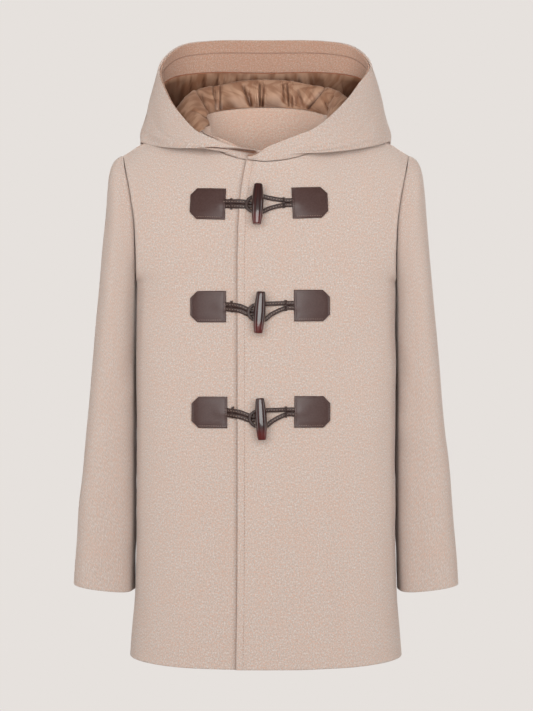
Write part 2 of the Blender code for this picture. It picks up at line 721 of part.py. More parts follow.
def lining_controls(place):
    """Give the control points of the lining, from the neck seam to the facing band."""
    side, own = around(place)
    full = smooth_step(3.0, 6.2, own)
    neck, inward = neck_frame(place)
    up = Vector((0.0, 0.0, 1.0))
    seam = (neck + inward * (0.0068 - facing_lean(place))
            + up * (facing_height(place) + 0.0008 + 0.15 * facing_lean(place)))
    crest = hood_point(side, own, 1)
    peak = ROLL_PEAK * smooth_step(7.5, 8.7, own)
    top = crest + up * (0.007 + 0.010 * full + peak) + inward * 0.003
    bulge = seam * 0.5 + top * 0.5 + inward * (0.002 + ROLL_OUT * full)

    # the pouch keeps clear of the fold, where the shell's two layers come close together
    stations = HOOD_OVER if side > 0 else HOOD_UNDER
    shell = station_controls(stations, own, side > 0)
    near = (shell[2] - shell[1]).length
    far = sum((shell[i + 1] - shell[i]).length for i in (2, 3, 4)) - 0.003
    clear = min(POUCH_CLEAR, 0.6 * near)
    rise = min(POUCH_CLEAR, 0.7 * far)
    return [seam, bulge, top,
            hood_inside(side, own, 1.0 + 0.45 * (1.0 - clear / near), POUCH_DEPTH),
            hood_inside(side, own, 2.0 - clear / near, POUCH_DEPTH),
            hood_inside(side, own, knot_above_fold(shell, rise), POUCH_DEPTH),
            hood_inside(side, own, knot_above_fold(shell, rise + 0.5 * (far - rise)),
                        POUCH_DEPTH + REAR_CLEAR * full),
            hood_inside(side, own, knot_above_fold(shell, far), WOOL + BAND_GAP + FACING / 2.0)]


def add_lining(material):
    """Make the gathered satin lining: roll, pouch and rear wall in one piece."""
    knots = (0, 0.5, 1, 1.5, 2, 2.5, 3, 4, 4.5, 5, 6, 7)
    places = lining_places()
    outer = []
    for knot in knots:
        row = []
        for place in places:
            controls = lining_controls(place)
            point = profile_point(controls, knot)
            step = 0.05
            along = (profile_point(controls, min(knot + step, 7.0))
                     - profile_point(controls, max(knot - step, 0.0)))
            before = profile_point(lining_controls(place - 0.02), knot)
            after = profile_point(lining_controls(place + 0.02), knot)
            normal = (after - before).cross(along).normalized()
            kept = smooth_step(0.0, 0.8, knot) * (1.0 - 0.75 * smooth_step(2.0, 3.0, knot))
            kept *= 1.0 - smooth_step(6.0, 7.0, knot)
            point -= normal * pleat_depth(place) * kept
            row.append(point)
        outer.append(row)
    normals = grid_normals(outer, False)
    inner = offset_grid(outer, normals, SATIN)
    return add_wall("hood_lining", outer, inner, material)


# ---------------------------------------------------------------- fastenings
def front_at(x, z):
    """Give the front's outer point and normal at an X and a height, over front at X > edge."""
    def surface(share, level):
        point = body_point(share, level, -1)
        if share > -EDGE_SHARE:
            point.y -= over_lift(share)
        return point

    level = (z - HEM_Z) / (ARMPIT_Z - HEM_Z)
    if level > 1.0:
        level = 1.0 + (z - ARMPIT_Z) / 0.30
    share = x / 0.155
    for _ in range(30):
        miss = Vector((x, 0.0, z)) - surface(share, level)
        share += miss.x / 0.155
        level += miss.z / 0.45
    step = 0.01
    along = surface(share + step, level) - surface(share - step, level)
    across = surface(share, level + step) - surface(share, level - step)
    return surface(share, level), along.cross(across).normalized()


def patch_height(x):
    """Give the patch's half height at a distance from its uncut edge."""
    far = PATCH_SIZE[0] - x
    cut = max(0.0, PATCH_CUT - far)
    return PATCH_SIZE[1] / 2.0 - cut


def add_patch(name, x, z, tilt, mirror, material):
    """Make one leather patch that follows the front's points, a little way out."""
    turn = math.radians(tilt)
    stops = (0.0, 0.3, 0.6, 1.0 - PATCH_CUT / PATCH_SIZE[0], 1.0)
    grids = []
    for out in (PATCH_GAP + PATCH_THICK, PATCH_GAP):
        grid = []
        for part in (-1.0, -0.33, 0.33, 1.0):
            row = []
            for stop in stops:
                reach = stop * PATCH_SIZE[0]
                local_x = PATCH_SIZE[0] / 2.0 - reach
                local_z = part * patch_height(reach)
                if mirror:
                    local_x = -local_x
                px = x + local_x * math.cos(turn) - local_z * math.sin(turn)
                pz = z + local_x * math.sin(turn) + local_z * math.cos(turn)
                point, normal = front_at(px, pz)
                row.append(point + normal * out)
            grid.append(row)
        grids.append(grid)
    return add_wall(name, grids[0], grids[1], material)


def add_ribbon(name, path, widths, thick, face, material):
    """Sweep a flat strip along a path; face gives the direction its flat side looks in."""
    rings = []
    for i, point in enumerate(path):
        run = (path[min(i + 1, len(path) - 1)] - path[max(i - 1, 0)]).normalized()
        looks = face(i)
        across = run.cross(looks).normalized()
        looks = across.cross(run).normalized()
        ring = []
        for a, b in ((-0.5, 0.0), (-0.40, -0.5), (0.40, -0.5), (0.5, 0.0), (0.40, 0.5),
                     (-0.40, 0.5)):
            ring.append(point + across * (a * widths[i]) + looks * (b * thick))
        rings.append(ring)
    shape = bmesh.new()
    verts = [[shape.verts.new(p) for p in ring] for ring in rings]
    for low, high in zip(verts, verts[1:]):
        for j in range(len(low)):
            k = (j + 1) % len(low)
            shape.faces.new((low[j], low[k], high[k], high[j]))
    shape.faces.new(list(reversed(verts[0])))
    shape.faces.new(verts[-1])
    if shape.calc_volume(signed=True) < 0:
        bmesh.ops.reverse_faces(shape, faces=shape.faces)
    mesh = bpy.data.meshes.new(name)
    shape.to_mesh(mesh)
    shape.free()
    return add_object(name, mesh, material)


def smooth_path(points, steps):
    """Fill in a smooth curve through a few points."""
    keys = [0.0]
    for before, after in zip(points, points[1:]):
        keys.append(keys[-1] + (after - before).length)
    path = []
    for i in range(len(points) - 1):
        for j in range(steps):
            path.append(spline(keys, points, keys[i] + (keys[i + 1] - keys[i]) * j / steps))
    path.append(points[-1])
    return path


def lifted(x, z, out):
    """Give a point that lies out from the front."""
    point, normal = front_at(x, z)
    return Vector((x, point.y - out, z))


def add_strap(name, row, material):
    """Make the doubled strap from the patch's edge into the slot in the toggle's back."""
    start = row.left_x + PATCH_SIZE[0] / 2.0 + 0.0010
    edge = -EDGE_SHARE * 0.155
    toggle = row.toggle_x
    middle = row.left_z * 0.6 + row.toggle_z * 0.4
    points = [lifted(start, row.left_z, 0.0022),
              lifted(edge - 0.0010, row.left_z * 0.8 + row.toggle_z * 0.2, LAP_LIFT + 0.0019),
              lifted(edge + 0.0050, middle, 0.0022),
              lifted(toggle - 0.0120, row.toggle_z + 0.0004, 0.0022),
              lifted(toggle - 0.0055, row.toggle_z, 0.0028),
              lifted(toggle - 0.0018, row.toggle_z, 0.0052),
              lifted(toggle - 0.0002, row.toggle_z, 0.0082),
              lifted(toggle, row.toggle_z, 0.0116)]
    path = smooth_path(points, 2)
    widths = []
    for point in path:
        near = smooth_step(toggle - 0.016, toggle - 0.009, point.x)
        widths.append(STRAP_HEIGHT + (STRAP_NECK - STRAP_HEIGHT) * near)

    def face(i):
        run = path[min(i + 1, len(path) - 1)] - path[max(i - 1, 0)]
        return run.cross(Vector((0.0, 0.0, 1.0))).normalized()

    return add_ribbon(name, path, widths, STRAP_THICK, face, material)


def add_loop(name, row, material):
    """Make the loop: two strands from the patch, round behind the toggle and over the strap."""
    start = row.right_x - PATCH_SIZE[0] / 2.0 - 0.0010
    half = LOOP_WIDTH / 2.0 + 0.0006
    toggle = row.toggle_x
    tz = row.toggle_z
    pz = row.right_z
    tie = start - 0.0080
    upper = [lifted(start, pz + half, 0.0018), lifted(tie, pz + half - 0.0001, 0.0024),
             lifted(toggle + 0.0150, (pz + tz) / 2.0 + 0.0062, 0.0040),
             lifted(toggle + 0.0045, tz + 0.0098, 0.0054),
             lifted(toggle - 0.0050, tz + 0.0092, 0.0058)]
    lower = [lifted(toggle - 0.0050, tz - 0.0086, 0.0058),
             lifted(toggle + 0.0045, tz - 0.0088, 0.0054),
             lifted(toggle + 0.0150, (pz + tz) / 2.0 - 0.0052, 0.0040),
             lifted(tie, pz - half + 0.0001, 0.0024), lifted(start, pz - half, 0.0018)]
    end = [lifted(toggle - 0.0108, tz + 0.0055, 0.0059), lifted(toggle - 0.0128, tz, 0.0060),
           lifted(toggle - 0.0108, tz - 0.0052, 0.0059)]
    path = smooth_path(upper + end + lower, 2)
    widths = [LOOP_WIDTH - 0.0012 * smooth_step(toggle + 0.002, toggle - 0.008, p.x)
              if p.x > toggle - 0.008 else LOOP_WIDTH - 0.0012 for p in path]

    def face(i):
        return Vector((0.0, -1.0, 0.0))

    return add_ribbon(name, path, widths, LOOP_THICK, face, material)


def add_toggle(name, row, material):
    """Make one tapered toggle with a slot for the strap in its back."""
    profile = ((-0.5, 0.66), (-0.48, 0.96), (-0.36, None), (-0.22, None), (-0.08, None),
               (0.08, None), (0.22, None), (0.36, None), (0.48, 0.96), (0.5, 0.66))
    sides = 12
    shape = bmesh.new()
    rings = []
    for along, end in profile:
        bulge = math.cos(math.pi * along * 0.93) ** 0.75 if end is None else 0.0
        radius = TOGGLE_END + (TOGGLE_RADIUS - TOGGLE_END) * bulge
        if end is not None:
            radius = TOGGLE_END * end
        ring = []
        for j in range(sides):
            angle = 2.0 * math.pi * j / sides
            ring.append(shape.verts.new((radius * math.cos(angle), radius * math.sin(angle),
                                         along * TOGGLE_LENGTH)))
        rings.append(ring)
    for low, high in zip(rings, rings[1:]):
        for j in range(sides):
            k = (j + 1) % sides
            shape.faces.new((low[j], low[k], high[k], high[j]))
    shape.faces.new(list(reversed(rings[0])))
    shape.faces.new(rings[-1])
    mesh = bpy.data.meshes.new(name)
    shape.to_mesh(mesh)
    shape.free()
    made = add_object(name, mesh, material)
    place = lifted(row.toggle_x, row.toggle_z, TOGGLE_OUT)
    made.location = place
    normal = front_at(row.toggle_x, row.toggle_z)[1]
    made.rotation_euler = (-math.asin(normal.z), math.radians(row.toggle_tilt), 0.0)
    depth = 0.0078
    slot = bpy.data.meshes.new(name + "_slot")
    box = bmesh.new()
    bmesh.ops.create_cube(box, size=1.0)
    bmesh.ops.scale(box, vec=(STRAP_THICK + 0.0010, 2.0 * depth, STRAP_NECK + 0.0012),
                    verts=box.verts)
    box.to_mesh(slot)
    box.free()
    cutter = bpy.data.objects.new(name + "_slot", slot)
    bpy.context.scene.collection.objects.link(cutter)
    cutter.location = (place.x, place.y + TOGGLE_OUT - 0.0125 + depth, place.z)
    cutter.hide_render = True
    cutter.display_type = "WIRE"
    cut = made.modifiers.new("slot", "BOOLEAN")
    cut.operation = "DIFFERENCE"
    cut.solver = "EXACT"
    cut.object = cutter
    return made


# ---------------------------------------------------------------- coat
def main():
    """Build every piece of the coat."""
    clear_scene()
    wool = make_material("wool", WOOL_COLOR, 0.95)
    band_wool = make_material("band_wool", BAND_COLOR, 0.95)
    satin = make_material("satin", SATIN_COLOR, 0.40)
    leather = make_material("leather", LEATHER_COLOR, 0.55)
    horn = make_material("horn", HORN_COLOR, 0.18)

    add_front("front_left", -EDGE_SHARE, False, True, wool)
    add_front("front_right", -UNDER_SHARE, True, False, wool)
    add_back(wool)
    add_sleeve("sleeve_left", False, wool)
    add_sleeve("sleeve_right", True, wool)
    add_hood_side("hood_left", 1, wool)
    add_hood_side("hood_right", -1, wool)
    add_band(band_wool)
    add_neck_facing(wool)
    add_lining(satin)

    for number, row in enumerate(FASTENINGS, start=1):
        add_patch(f"patch_right_{number}", row.left_x, row.left_z, row.left_tilt, False, leather)
        add_patch(f"patch_left_{number}", row.right_x, row.right_z, row.right_tilt, True, leather)
        add_strap(f"strap_{number}", row, leather)
        add_loop(f"loop_{number}", row, leather)
        add_toggle(f"toggle_{number}", row, horn)


main()
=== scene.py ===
"""Hooded duffle coat: cloth, satin, leather, horn and thread dressed over its fixed frame.

Metres, +Z up, the front faces -Y and the wearer's left side is +X. Every cloth piece is a
closed thin wall laid on the same cut as its solid, with its own folds, seams and turned edges.
A grid is an array of points, rows by columns by 3.
"""

import logging
import math
from dataclasses import dataclass, field
from enum import Enum
from typing import Callable, NamedTuple, Sequence

import bpy
import numpy as np
from mathutils import Matrix, Vector


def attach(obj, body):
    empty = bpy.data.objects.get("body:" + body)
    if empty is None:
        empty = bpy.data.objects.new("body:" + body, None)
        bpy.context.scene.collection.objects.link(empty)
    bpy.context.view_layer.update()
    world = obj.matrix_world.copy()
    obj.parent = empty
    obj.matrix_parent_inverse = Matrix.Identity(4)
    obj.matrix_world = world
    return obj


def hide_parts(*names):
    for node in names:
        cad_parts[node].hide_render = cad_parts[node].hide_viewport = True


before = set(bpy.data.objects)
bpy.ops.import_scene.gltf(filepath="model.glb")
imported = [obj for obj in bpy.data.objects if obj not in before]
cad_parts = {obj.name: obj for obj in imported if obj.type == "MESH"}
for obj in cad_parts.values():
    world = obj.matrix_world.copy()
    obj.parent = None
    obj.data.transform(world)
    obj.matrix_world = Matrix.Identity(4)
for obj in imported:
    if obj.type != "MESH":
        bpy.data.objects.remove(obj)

logging.basicConfig(level=logging.INFO, format="%(message)s")
LOG = logging.getLogger("duffle_coat")
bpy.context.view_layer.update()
Array = np.ndarray
Triple = tuple[float, float, float]
Color = tuple[float, float, float, float]
BODY = "root"
UV_LAYER = "cloth"
# name of the point attribute that holds each piece's painted shade
SHADE = "shade"
FORWARD = np.array([0.0, -1.0, 0.0])
UP = np.array([0.0, 0.0, 1.0])
# how far stitches lie out from the cloth
STITCH_OUT = 0.0001
SHARP_ANGLE = math.radians(55)
# distances from an edge where extra rows lie, for turned edges and seams
EDGE_ROWS = np.array([0.0002, 0.0006, 0.0012, 0.0020])
# how many waves make a soft swell, and the typical height of their sum
WAVES = 7
WAVES_HEIGHT = 2.6


# ------------------------------------------------------------------ curves and grids
def smooth_step(low: float, high: float, value: Array) -> Array:
    """Rise smoothly from 0 at low to 1 at high; a lower high makes a fall."""
    share = np.clip((value - low) / (high - low), 0.0, 1.0)
    return share * share * (3.0 - 2.0 * share)


def hump(start: float, full: float, leave: float, end: float, value: Array) -> Array:
    """Rise from 0 at start to 1 at full, and fall from 1 at leave to 0 at end."""
    return smooth_step(start, full, value) * smooth_step(end, leave, value)


def bell(value: Array, width: float, power: float = 2.0) -> Array:
    """Fall smoothly from 1 at value 0 to nearly 0 past the width, on both sides."""
    return np.exp(-(value / width) ** power)


def hermite(span: Array, t: Array, start: Array, end: Array, leave: Array, arrive: Array) -> Array:
    """Blend between two values with given slopes.

    Args:
        span: Distance between the two keys.
        t: Share of the span.
        start: Value at the first key.
        end: Value at the second key.
        leave: Slope at the first key.
        arrive: Slope at the second key.

    Returns:
        The values on the smooth curve.
    """
    t2 = t * t
    t3 = t2 * t
    return (start * (2 * t3 - 3 * t2 + 1) + leave * (span * (t3 - 2 * t2 + t))
            + end * (3 * t2 - 2 * t3) + arrive * (span * (t3 - t2)))


def spline(keys: Sequence[float], values: Array, at: Array) -> Array:
    """Read a smooth curve through values at rising keys.

    Args:
        keys: Rising keys, one for each value.
        values: Numbers, or points as rows.
        at: Number or array of keys to look up.

    Returns:
        The values, with any point axis last.
    """
    keys, values = np.asarray(keys, float), np.asarray(values, float)
    last = len(keys) - 1
    before = np.maximum(np.arange(last + 1) - 1, 0)
    after = np.minimum(np.arange(last + 1) + 1, last)
    at = np.clip(np.asarray(at, float), keys[0], keys[last])
    i = np.clip(np.searchsorted(keys, at, side="left") - 1, 0, last - 1)
    gaps, span, t = keys[after] - keys[before], keys[i + 1] - keys[i], at - keys[i]
    if values.ndim > 1:
        gaps, span, t = gaps[:, None], span[..., None], t[..., None]
    slopes = (values[after] - values[before]) / gaps
    return hermite(span, t / span, values[i], values[i + 1], slopes[i], slopes[i + 1])


def column(table: Sequence[NamedTuple], name: str) -> Array:
    """Give one named column of a table."""
    return np.array([getattr(row, name) for row in table], float)


def look_up(table: Sequence[NamedTuple], at: Array, *names: str) -> list[Array]:
    """Read named columns of a table smoothly, at values of its first column."""
    keys = [row[0] for row in table]
    return [spline(keys, column(table, name), at) for name in names]


def stack(x: Array, y: Array, z: Array) -> Array:
    """Put coordinates together as points."""
    return np.stack(np.broadcast_arrays(x, y, z), axis=-1)


def unit(vectors: Array) -> Array:
    """Scale vectors to length 1."""
    return vectors / np.maximum(np.linalg.norm(vectors, axis=-1, keepdims=True), 1e-12)


def way_along(points: Array) -> Array:
    """Give the length run along a line of points up to each of them."""
    return np.concatenate([[0.0], np.cumsum(np.linalg.norm(np.diff(points, axis=0), axis=1))])


def run_lengths(points: Array, axis: int) -> Array:
    """Give the length run along a grid axis up to each point."""
    steps = np.linalg.norm(np.diff(points, axis=axis), axis=-1)
    return np.cumsum(np.pad(steps, [(int(axis == i), 0) for i in range(2)]), axis=axis)


def grid_normals(points: Array, closed: bool = False) -> Array:
    """Give a unit normal at each grid point, along the columns crossed with down the rows.

    Args:
        points: The grid.
        closed: True if the last column joins the first.

    Returns:
        Normals in the shape of points.
    """
    if closed:
        along = np.roll(points, -1, axis=1) - np.roll(points, 1, axis=1)
    else:
        along = np.gradient(points, axis=1)
    return unit(np.cross(along, np.gradient(points, axis=0)))


def facing(points: Array, towards: Array, closed: bool = False) -> Array:
    """Give a grid's normals on the side that looks towards the given directions."""
    normals = grid_normals(points, closed)
    return normals * np.sign(np.sum(normals * towards))


def moved(points: Array, way: Array, length: Array) -> Array:
    """Move points along directions by lengths."""
    return points + way * length[..., None]


def mirrored(points: Array, side: int) -> Array:
    """Give points with x times the side, 1 or -1."""
    return points * np.array([side, 1.0, 1.0])


def edged_steps(count: int, length: float, first: bool = True, last: bool = True) -> Array:
    """Give shares from 0 to 1 with extra ones close to the ends, for turned edges and seams.

    Args:
        count: Number of even steps.
        length: Length of the whole side in metres.
        first: Put extra ones at the start.
        last: Put extra ones at the end.

    Returns:
        Rising shares.
    """
    close = EDGE_ROWS / length
    even = np.linspace(0.0, 1.0, count + 1)
    free = 1.3 * close[-1]
    low = first & (even > 0.0) & (even < free)
    high = last & (even < 1.0) & (even > 1.0 - free)
    return np.unique(np.concatenate([even[~(low | high)], close[:4 * first], 1.0 - close[:4 * last]]))


def grid_faces(grid: Array) -> Array:
    """Give the four corners of each cell of a grid of numbers or pairs, as rows."""
    cells = np.stack([grid[:-1, :-1], grid[:-1, 1:], grid[1:, 1:], grid[1:, :-1]], axis=2)
    return cells.reshape(-1, 4, *grid.shape[2:])


def ring_index(count: int, sides: int) -> Array:
    """Number the points of rings, with each ring's first point again at its end."""
    index = np.arange(count * sides).reshape(count, sides)
    return np.concatenate([index, index[:, :1]], axis=1)


class Crease(NamedTuple):
    """A soft fold between two places on a piece; a depth below 0 is a ridge."""

    u0: float
    v0: float
    u1: float
    v1: float
    width: float
    depth: float

    def reach(self, u: Array, v: Array) -> tuple[Array, Array, Array]:
        """Tell how places lie to the fold.

        Args:
            u: Place across the piece.
            v: Place along the piece.

        Returns:
            Distance past the fold's ends, distance beside it, and share along it.
        """
        du, dv = self.u1 - self.u0, self.v1 - self.v0
        length = math.hypot(du, dv)
        along = ((u - self.u0) * du + (v - self.v0) * dv) / length
        beside = ((v - self.v0) * du - (u - self.u0) * dv) / length
        return along - np.clip(along, 0.0, length), beside, np.clip(along / length, 0.0, 1.0)


def crease_depth(u: Array, v: Array, creases: Sequence[Crease]) -> Array:
    """Add up how far the cloth sinks in its folds, with a faint ridge beside each.

    Args:
        u: Place across the piece.
        v: Place along the piece.
        creases: The folds.

    Returns:
        Depths in metres.
    """
    total = np.zeros_like(u)
    for fold in creases:
        over, beside, share = fold.reach(u, v)
        q = beside / fold.width
        swell = (0.65 + 0.35 * np.sin(np.pi * share)) * bell(over, 2.2 * fold.width)
        total += fold.depth * swell * (bell(q, 1.0) - 0.45 * bell(q - 1.9, 1.0))
    return total


def soft_wave(u: Array, v: Array, size: float, height: float, seed: int) -> Array:
    """Give a slow uneven swell, as pressed cloth has.

    Args:
        u: Place across the piece.
        v: Place along the piece.
        size: Typical distance between swells.
        height: Typical height.
        seed: Fixes the pattern.

    Returns:
        Heights in metres.
    """
    chance = np.random.default_rng(seed)
    total = np.zeros_like(u)
    for _ in range(WAVES):
        angle = chance.uniform(0.0, math.pi)
        pitch = size * chance.uniform(0.6, 1.7)
        phase = chance.uniform(0.0, 2.0 * math.pi)
        total += np.sin(2.0 * math.pi * (u * math.cos(angle) + v * math.sin(angle)) / pitch + phase)
    return total * height / WAVES_HEIGHT


# ------------------------------------------------------------------ finishes
def linear(*display: int) -> Color:
    """Turn red, green and blue display values from 0 to 255 into a linear colour."""
    shares = [value / 255.0 for value in display]
    return (*(s / 12.92 if s <= 0.04045 else ((s + 0.055) / 1.055) ** 2.4 for s in shares), 1.0)


class Tree:
    """A node tree with short calls for adding and joining nodes."""

    def __init__(self, tree: bpy.types.NodeTree) -> None:
        """Keep the tree and how many nodes it has."""
        self.tree = tree
        self.count = 0

    def feed(self, node: bpy.types.Node, **sockets: object) -> None:
        """Set or join a node's inputs.

        Args:
            node: The node.
            **sockets: Inputs by name, with _ for a blank, or iN for input number N; each is a
                value or another node's output.
        """
        for name, value in sockets.items():
            number = name[1:]
            key = int(number) if name[0] == "i" and number.isdigit() else name.replace("_", " ")
            if isinstance(value, bpy.types.NodeSocket):
                self.tree.links.new(value, node.inputs[key])
            else:
                node.inputs[key].default_value = value

    def add(self, kind: str, settings: dict | None = None, **sockets: object) -> bpy.types.Node:
        """Add a node.

        Args:
            kind: The node's type.
            settings: Its own properties by name.
            **sockets: Its inputs, as feed takes them.

        Returns:
            The node.
        """
        node = self.tree.nodes.new(kind)
        node.location = (190.0 * (self.count % 9), -260.0 * (self.count // 9))
        self.count += 1
        for name, value in (settings or {}).items():
            setattr(node, name, value)
        self.feed(node, **sockets)
        return node

    def math(self, operation: str, *values: object) -> bpy.types.NodeSocket:
        """Add a Math node and give its output."""
        numbered = {f"i{i}": value for i, value in enumerate(values)}
        return self.add("ShaderNodeMath", {"operation": operation}, **numbered).outputs[0]

    def mix(self, share: object, low: object, high: object) -> bpy.types.NodeSocket:
        """Add a colour Mix node and give its output."""
        return self.add("ShaderNodeMix", {"data_type": "RGBA"}, i0=share, i6=low, i7=high).outputs[2]

    def noise(self, vector: object, scale: float, detail: float = 2.0,
              rough: float = 0.5) -> bpy.types.NodeSocket:
        """Add a noise texture and give its value."""
        return self.add("ShaderNodeTexNoise", Vector=vector, Scale=scale, Detail=detail,
                        Roughness=rough).outputs[0]

    def stretched(self, vector: object, across: float, along: float, *detail: float
                  ) -> bpy.types.NodeSocket:
        """Add a noise texture with its own number of grains in a metre each way."""
        return self.noise(self.scaled(vector, across, along), 1.0, *detail)

    def scaled(self, vector: object, across: float, along: float) -> bpy.types.NodeSocket:
        """Add a Mapping node that stretches a pattern and give its output."""
        return self.add("ShaderNodeMapping", Vector=vector, Scale=(across, along, 1.0)).outputs[0]

    def ramp(self, value: object, low: float, high: float) -> bpy.types.NodeSocket:
        """Add a smooth Map Range node from 0 to 1 and give its output."""
        return self.add("ShaderNodeMapRange", {"interpolation_type": "SMOOTHSTEP"}, Value=value,
                        From_Min=low, From_Max=high).outputs[0]

    def cloth_place(self) -> bpy.types.NodeSocket:
        """Give places on the cloth in metres."""
        return self.add("ShaderNodeUVMap", {"uv_map": UV_LAYER}).outputs[0]

    def object_place(self) -> bpy.types.NodeSocket:
        """Give places in space in metres."""
        return self.add("ShaderNodeTexCoord").outputs["Object"]

    def shaded(self, color: object, dark: Color) -> bpy.types.NodeSocket:
        """Darken a colour by the painted shade that the piece carries as its shade attribute."""
        shade = self.add("ShaderNodeAttribute", {"attribute_name": SHADE}).outputs["Fac"]
        return self.mix(self.math("MULTIPLY", shade, 0.9), color, dark)


def new_group(name: str, inputs: dict[str, str], outputs: dict[str, str]
              ) -> tuple[Tree, bpy.types.Node, bpy.types.Node]:
    """Start a shader node group.

    Args:
        name: The group's name.
        inputs: Kinds of its inputs by name, such as Color.
        outputs: Kinds of its outputs by name.

    Returns:
        The tree, its input node and its output node.
    """
    group = bpy.data.node_groups.new(name, "ShaderNodeTree")
    for way, sockets in (("INPUT", inputs), ("OUTPUT", outputs)):
        for key, kind in sockets.items():
            group.interface.new_socket(key, in_out=way, socket_type="NodeSocket" + kind)
    tree = Tree(group)
    return tree, tree.add("NodeGroupInput"), tree.add("NodeGroupOutput")


def wool_group() -> bpy.types.NodeTree:
    """Build the melange wool: pale and rosy flecks over a fibrous ground, and its nap.

    Returns:
        A group with Color and Height outputs.
    """
    colors = dict.fromkeys(("Ground", "Pale", "Rosy", "Dark"), "Color")
    tree, given, made = new_group("melange_wool", {"Vector": "Vector", **colors, "Contrast": "Float"},
                                  {"Color": "Color", "Height": "Float"})
    place = given.outputs["Vector"]
    fine = tree.stretched(place, 1150.0, 820.0, 3.0, 0.65)
    flecks = tree.stretched(place, 620.0, 500.0, 2.0, 0.6)
    aside = tree.add("ShaderNodeVectorMath", {"operation": "ADD"}, i0=place, i1=(3.7, 1.9, 0.0))
    blush = tree.stretched(aside.outputs[0], 570.0, 450.0, 2.0, 0.6)
    drift = tree.stretched(place, 44.0, 30.0)
    color = given.outputs["Ground"]
    for pattern, low, high, strength, tone in (
            (fine, 0.56, 0.30, 0.55, "Dark"), (fine, 0.50, 0.74, 1.0, "Pale"),
            (flecks, 0.46, 0.70, 1.0, "Pale"), (flecks, 0.47, 0.28, 0.6, "Dark"),
            (blush, 0.47, 0.68, 1.0, "Rosy")):
        amount = tree.math("MULTIPLY", given.outputs["Contrast"], strength)
        share = tree.math("MULTIPLY", tree.ramp(pattern, low, high), amount)
        color = tree.mix(share, color, given.outputs[tone])
    share = tree.math("MULTIPLY", tree.ramp(drift, 0.40, 0.65), 0.12)
    color = tree.mix(share, color, given.outputs["Rosy"])
    height = tree.math("ADD", tree.math("MULTIPLY", fine, 0.7), tree.math("MULTIPLY", flecks, 0.6))
    tree.feed(made, Color=color, Height=height)
    return tree.tree


def grain_group() -> bpy.types.NodeTree:
    """Build the fine grain that leather and horn share.

    Returns:
        A group with Mask and Height outputs.
    """
    tree, given, made = new_group("fine_grain", {"Vector": "Vector", "Scale": "Float"},
                                  {"Mask": "Float", "Height": "Float"})
    place, scale = given.outputs["Vector"], given.outputs["Scale"]
    cells = tree.add("ShaderNodeTexVoronoi", {"feature": "SMOOTH_F1"}, Vector=place, Scale=scale)
    cloud = tree.noise(place, tree.math("MULTIPLY", scale, 0.22), 3.0)
    height = tree.math("ADD", tree.math("MULTIPLY", cells.outputs[0], 0.6), cloud)
    tree.feed(made, Mask=tree.ramp(cloud, 0.35, 0.68), Height=height)
    return tree.tree


@dataclass(frozen=True)
class Finish:
    """What every finish shares: a name and a start with a Principled shader."""

    name: str = "plain"
    roughness: float = 0.8

    def start(self, **values: object) -> tuple[bpy.types.Material, Tree, bpy.types.Node]:
        """Make the material.

        Args:
            **values: Uniform values for the shader's sockets, with _ for a blank.

        Returns:
            The material, its tree and its Principled shader.
        """
        material = bpy.data.materials.new(self.name)
        material.use_nodes = True
        shader = material.node_tree.nodes["Principled BSDF"]
        tree = Tree(material.node_tree)
        tree.feed(shader, Roughness=self.roughness, **values)
        return material, tree, shader

    @staticmethod
    def raise_surface(tree: Tree, shader: bpy.types.Node, height: object, distance: float,
                      strength: float) -> None:
        """Feed a height to the shader's normal through a Bump node."""
        bump = tree.add("ShaderNodeBump", Height=height, Distance=distance, Strength=strength)
        tree.feed(shader, Normal=bump.outputs[0])


@dataclass(frozen=True)
class WoolFinish(Finish):
    """Brushed melange wool cloth, darkened where its piece carries painted shade."""

    name: str = "melton_wool"
    roughness: float = 0.92
    ground: Color = linear(203, 189, 180)
    pale: Color = linear(220, 214, 211)
    rosy: Color = linear(214, 179, 160)
    dark: Color = linear(176, 152, 140)
    # the colour that painted shade darkens the wool towards
    painted_shade_color: Color = linear(112, 74, 56)
    contrast: float = 0.88
    sheen: float = 0.18
    nap: float = 0.0005

    def make(self, group: bpy.types.NodeTree) -> bpy.types.Material:
        """Build the material around the shared wool group."""
        material, tree, shader = self.start(
            Sheen_Weight=self.sheen, Sheen_Roughness=0.5, Sheen_Tint=(1.0, 0.95, 0.91, 1.0),
            Specular_IOR_Level=0.1, Diffuse_Roughness=0.6)
        cloth = tree.add("ShaderNodeGroup", {"node_tree": group}, Vector=tree.cloth_place(),
                         Ground=self.ground, Pale=self.pale, Rosy=self.rosy, Dark=self.dark,
                         Contrast=self.contrast)
        tree.feed(shader, Base_Color=tree.shaded(cloth.outputs["Color"], self.painted_shade_color))
        self.raise_surface(tree, shader, cloth.outputs["Height"], self.nap, 0.55)
        return material


@dataclass(frozen=True)
class SatinFinish(Finish):
    """Satin lining with a soft gloss that runs across its floating threads, darkened where it carries
    painted shade.
    """

    name: str = "lining_satin"
    roughness: float = 0.50
    color: Color = linear(190, 150, 124)
    deep: Color = linear(158, 114, 88)
    # the colour that painted shade darkens the satin towards
    dark: Color = linear(80, 46, 30)
    thread: float = 0.0002

    def make(self) -> bpy.types.Material:
        """Build the material."""
        material, tree, shader = self.start(
            Sheen_Weight=0.25, Sheen_Roughness=0.35, Sheen_Tint=(1.0, 0.84, 0.72, 1.0),
            Specular_IOR_Level=0.85, Specular_Tint=(1.0, 0.86, 0.76, 1.0), Anisotropic=0.75,
            Anisotropic_Rotation=0.25)
        place = tree.cloth_place()
        threads = tree.stretched(place, 1700.0, 240.0)
        cloud = tree.stretched(place, 75.0, 34.0)
        color = tree.mix(tree.ramp(cloud, 0.40, 0.60), self.color, self.deep)
        rough = tree.math("MULTIPLY_ADD", threads, 0.10, self.roughness - 0.05)
        way = tree.add("ShaderNodeTangent", {"direction_type": "UV_MAP", "uv_map": UV_LAYER})
        tree.feed(shader, Base_Color=tree.shaded(color, self.dark), Roughness=rough,
                  Tangent=way.outputs[0])
        self.raise_surface(tree, shader, threads, self.thread, 0.25)
        return material


